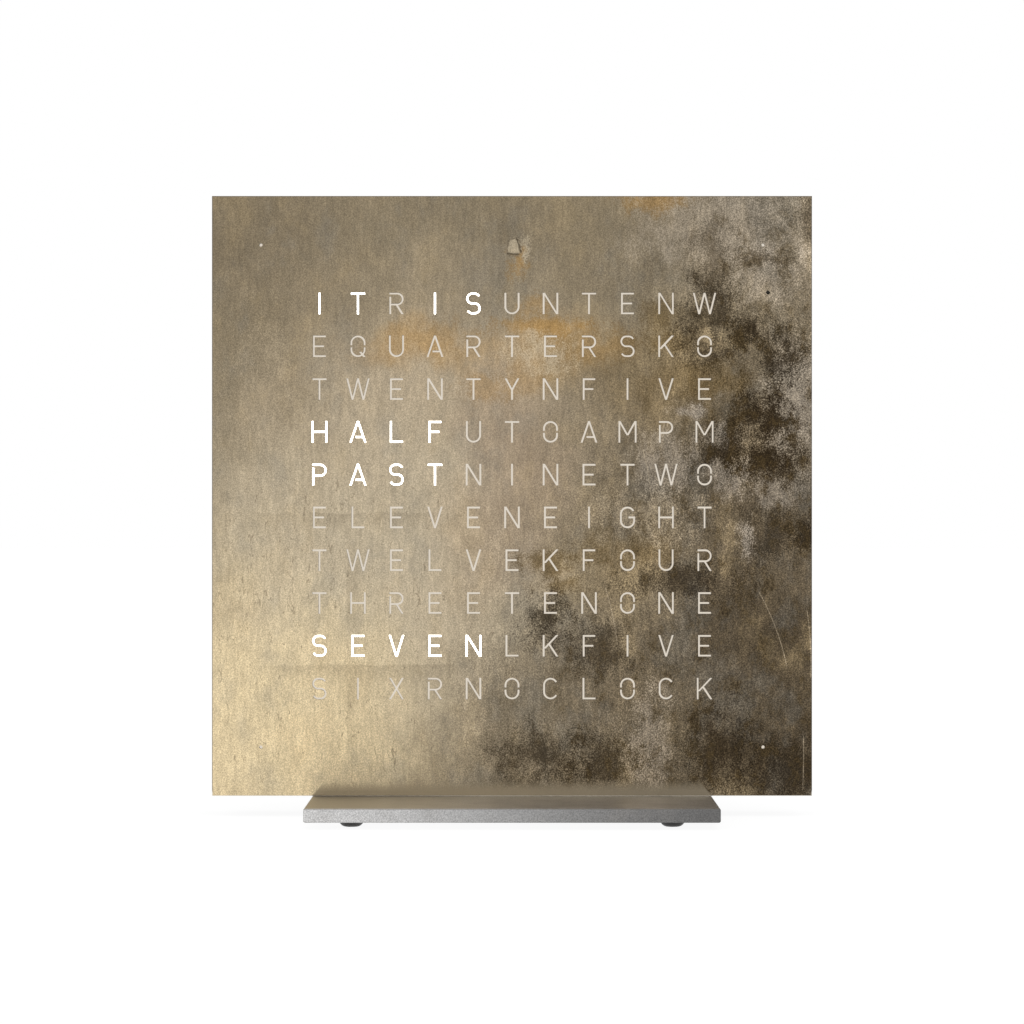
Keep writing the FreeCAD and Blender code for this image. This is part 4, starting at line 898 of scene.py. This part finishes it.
METALS = (                       # the inputs of lined_metal in their order, and the nodes
    ("turned_zinc_plated_steel", "#c2c5c9", "#9fa3a6", (LONG, 0.18, LONG), 0.34,
     ("frame_screws", "cover_studs")),
    ("zinc_plated_screw_steel", "#c2c5c9", "#9a9ea2", (LONG, LONG, 0.18), 0.36, ("base_screws",)),
    ("turned_brass", "#d3b066", "#a98544", (LONG, 0.3, LONG), 0.30, ("frame_inserts",)),
    ("knurled_brass", "#d3b066", "#a07c3e", (LONG, LONG, 0.3), 0.32, ("base_inserts",)),
    ("nickel_plated_neodymium", "#cbc7bf", "#aaa69f", (0.4, 0.4, 0.4), 0.22, ("cover_magnets",)),
    ("drawn_nickel_plated_steel", "#c9c5bd", "#a39f97", (0.16, LONG, 0.16), 0.26, ("power_socket",)),
    ("rolled_spring_nickel", "#cdc9c0", "#aba79e", (LONG, 0.2, 0.2), 0.24, ("cell_clip", "switch_domes")),
    ("brushed_stainless_can", "#bfbfbd", "#9b9b99", (0.14, LONG, LONG), 0.28, ("coin_cell",)),
    ("drawn_aluminium_can", "#c6c8ca", "#a6a8aa", (0.2, LONG, 0.2), 0.33, ("capacitors", "clock_crystal")),
)
for *values, nodes in METALS:
    cover_nodes(lined_metal(*values), *nodes)

# %% [markdown]
# The circuit board is glass fibre coated with green solder mask. Copper tracks under the mask show
# as raised, lighter lines on a grid, with round vias where they change sides. The cut edges show
# the bare fibre. Real tracks could be modelled, but in the relief of the mask they cost nothing.

# %% Circuit board
TRACK_PITCH = 2.54
TRACK_LENGTH = 6 * TRACK_PITCH
TRACK_WIDTH = 0.35
VIA_PITCH = 3 * TRACK_PITCH
VIA_RADIUS = 0.42


def solder_mask():
    """Green epoxy mask over copper tracks: glossy, with a fine relief, and straw-coloured cut edges."""
    material, tree, shader = new_material("green_solder_mask", IOR=1.55)
    spot = millimetres(tree)
    turned = add(tree, "ShaderNodeMapping", {"Vector": spot, "Rotation": (-pi / 2, 0, 0)})
    bricks = add(tree, "ShaderNodeTexBrick", {
        "Vector": turned.outputs[0], "Scale": 1.0, "Mortar Size": TRACK_WIDTH / 2, "Mortar Smooth": 0.2,
        "Brick Width": TRACK_LENGTH, "Row Height": TRACK_PITCH})
    vias = add(tree, "ShaderNodeTexVoronoi", {
        "Vector": turned.outputs[0], "Scale": 1 / VIA_PITCH, "Randomness": 0.0})
    to_via = add(tree, "ShaderNodeMath", {0: vias.outputs[0], 1: VIA_PITCH}, operation="MULTIPLY")
    pour = random_field(tree, spot, (14.0, 14.0, 14.0), 0.0, 1.0, 3.0)
    tone = layer(tree, linear("#14482d"), linear("#1a5a38"), pour, 0.45, 0.55, 1.0)
    tone = layer(tree, tone, linear("#2b7a4c"), bricks.outputs[1], 0.2, 0.8, 0.8)
    tone = layer(tree, tone, linear("#b9b6ad"), to_via.outputs[0], VIA_RADIUS, VIA_RADIUS * 0.8, 0.9)
    flat = add(tree, "ShaderNodeMath", {0: facing(tree)[1]}, operation="ABSOLUTE").outputs[0]
    tone = layer(tree, linear("#b3a368"), tone, flat, 0.4, 0.7, 1.0)
    rough = random_field(tree, spot, (2.0, 2.0, 2.0), 0.22, 0.36, 3.0)
    finish(tree, shader, tone, rough, bricks.outputs[1], 0.03)
    return material


cover_nodes(solder_mask(), "led_board")


# %% [markdown]
# Each LED is a white plastic cup with a round window, filled with yellow phosphor. The window's
# floor is the only surface that faces forward and lies deeper than the cup's rim.

# %% LEDs and light sensor
WINDOW_DEPTH = 0.15              # more than this below the rim is the window's floor
rim_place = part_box("leds")[0].y / MM


def led_package():
    """White polyamide cup with a window of silicone that holds yellow phosphor."""
    material, tree, shader = new_material("white_led_cup_with_phosphor", IOR=1.53)
    spot = millimetres(tree)
    specks = random_field(tree, spot, (0.3, 0.3, 0.3), 0.0, 1.0, 2.0)
    cup = layer(tree, linear("#f0efea"), linear("#dedbd2"), specks, 0.3, 1.0, 0.6)
    phosphor = layer(tree, linear("#e2c14a"), linear("#cfa62f"), specks, 0.3, 0.8, 0.8)
    back = facing(tree)[1]
    inwards = add(tree, "ShaderNodeSeparateXYZ", {0: spot}).outputs[1]
    deep = add(tree, "ShaderNodeMath", {0: inwards, 1: rim_place + WINDOW_DEPTH}, operation="GREATER_THAN")
    window = add(tree, "ShaderNodeMath", {0: back, 1: deep.outputs[0]}, operation="MULTIPLY")
    tone = layer(tree, cup, phosphor, window.outputs[0], -0.4, -0.7, 1.0)
    rough = random_field(tree, spot, (1.0, 1.0, 1.0), 0.3, 0.45)
    finish(tree, shader, tone, rough, specks, 0.005)
    return material


def sensor_resin():
    """Dark, clear epoxy over a light sensor: glossy brown black."""
    material, tree, shader = new_material("dark_clear_epoxy", IOR=1.55)
    spot = millimetres(tree)
    depth = random_field(tree, spot, (0.8, 0.8, 0.8), 0.0, 1.0)
    tone = layer(tree, linear("#16100c"), linear("#2a1e16"), depth, 0.2, 1.0, 0.8)
    finish(tree, shader, tone, random_field(tree, spot, (0.5, 0.5, 0.5), 0.10, 0.2), depth, 0.003)
    return material


cover_nodes(led_package(), "leds")
cover_nodes(sensor_resin(), "light_sensor")


# %% [markdown]
# Chips are cast in black epoxy full of ground quartz, which leaves them dull and finely grained.
# Their legs are tinned copper. A chip's legs stand out past its body, so a place more than the
# body's half width from the chip's middle is a leg.

# %% Chips
LEG_REACH = 1.0
LEG_EDGE = 0.02                  # mm over which the body gives way to a leg


def cast_chip(name, node, legs_on_all_sides):
    """Black epoxy moulding compound with tinned legs."""
    material, tree, shader = new_material(name, IOR=1.55)
    low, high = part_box(node)
    half = (high - low) / 2 / MM
    spot = millimetres(tree, (low + high) / 2)
    across, _, up = add(tree, "ShaderNodeSeparateXYZ", {0: spot}).outputs
    off = add(tree, "ShaderNodeMath", {0: up}, operation="ABSOLUTE").outputs[0]
    past = add(tree, "ShaderNodeMath", {0: off, 1: half.z - LEG_REACH}, operation="SUBTRACT").outputs[0]
    if legs_on_all_sides:
        side = add(tree, "ShaderNodeMath", {0: across}, operation="ABSOLUTE")
        past_side = add(tree, "ShaderNodeMath", {
            0: side.outputs[0], 1: half.x - LEG_REACH}, operation="SUBTRACT")
        past = add(tree, "ShaderNodeMath", {0: past, 1: past_side.outputs[0]}, operation="MAXIMUM").outputs[0]
    quartz = random_field(tree, spot, (0.22, 0.22, 0.22), 0.0, 1.0)
    tone = layer(tree, linear("#1a1a1b"), linear("#2c2c2d"), quartz, 0.3, 1.0, 0.7)
    tone = layer(tree, tone, linear("#c4c4c0"), past, 0.0, LEG_EDGE, 1.0)
    rough = add(tree, "ShaderNodeMapRange", {
        "Value": past, "From Max": LEG_EDGE, "To Min": 0.62, "To Max": 0.3})
    metal = add(tree, "ShaderNodeMapRange", {"Value": past, "From Max": LEG_EDGE})
    tree.links.new(metal.outputs[0], shader.inputs["Metallic"])
    finish(tree, shader, tone, rough.outputs[0], quartz, 0.01)
    return material


cover_nodes(cast_chip("cast_epoxy_controller", "controller_chip", True), "controller_chip")
cover_nodes(cast_chip("cast_epoxy_driver", "led_drivers", False), "led_drivers")
cover_nodes(cast_chip("cast_epoxy_regulator", "power_regulator", False), "power_regulator")


# %% [markdown]
# A chip resistor is a crumb of white ceramic. Its top is glazed black, and both ends are tinned.
# The socket's tongue is a black plastic blade with gold contacts side by side.

# %% Resistors and contacts
END_CAP = 0.35
GLAZE = 0.03                     # mm of black glaze on top
CONTACT_PITCH = 0.8
STRIP_STARTS = 0.24              # mm from the middle of a gap to the gold beside it
STRIP_FULL = 0.256


def glazed_resistor():
    """White alumina, black glaze on top and tinned ends."""
    material, tree, shader = new_material("glazed_alumina_with_tinned_ends", IOR=1.76)
    low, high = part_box("resistors")
    half = (high - low) / 2 / MM
    spot = millimetres(tree, (low + high) / 2)
    _, outwards, up = add(tree, "ShaderNodeSeparateXYZ", {0: spot}).outputs
    specks = random_field(tree, spot, (0.3, 0.3, 0.3), 0.0, 1.0)
    tone = layer(tree, linear("#eceae4"), linear("#d9d6cd"), specks, 0.3, 1.0, 0.6)
    tone = layer(tree, tone, linear("#1b1a1a"), outwards, half.y - GLAZE - 0.01, half.y - GLAZE, 1.0)
    off = add(tree, "ShaderNodeMath", {0: up}, operation="ABSOLUTE").outputs[0]
    tone = layer(tree, tone, linear("#c0c0bc"), off, half.z - END_CAP, half.z - END_CAP + 0.02, 1.0)
    rough = random_field(tree, spot, (0.4, 0.4, 0.4), 0.28, 0.42)
    finish(tree, shader, tone, rough, specks, 0.005)
    return material


def contact_blade():
    """Black liquid-crystal polymer with gold-plated contact strips."""
    material, tree, shader = new_material("black_blade_with_gold_contacts", IOR=1.6)
    spot = millimetres(tree)
    along = add(tree, "ShaderNodeSeparateXYZ", {0: spot}).outputs[0]
    fold = add(tree, "ShaderNodeMath", {0: along, 1: CONTACT_PITCH / 2}, operation="PINGPONG").outputs[0]
    specks = random_field(tree, spot, (0.25, 0.25, 0.25), 0.0, 1.0)
    tone = layer(tree, linear("#17171a"), linear("#252529"), specks, 0.3, 1.0, 0.7)
    tone = layer(tree, tone, linear("#d2a850"), fold, STRIP_STARTS, STRIP_FULL, 1.0)
    rough = random_field(tree, spot, (0.6, 0.6, 0.6), 0.3, 0.45)
    finish(tree, shader, tone, rough, specks, 0.005)
    return material


cover_nodes(glazed_resistor(), "resistors")
cover_nodes(contact_blade(), "socket_tongue")
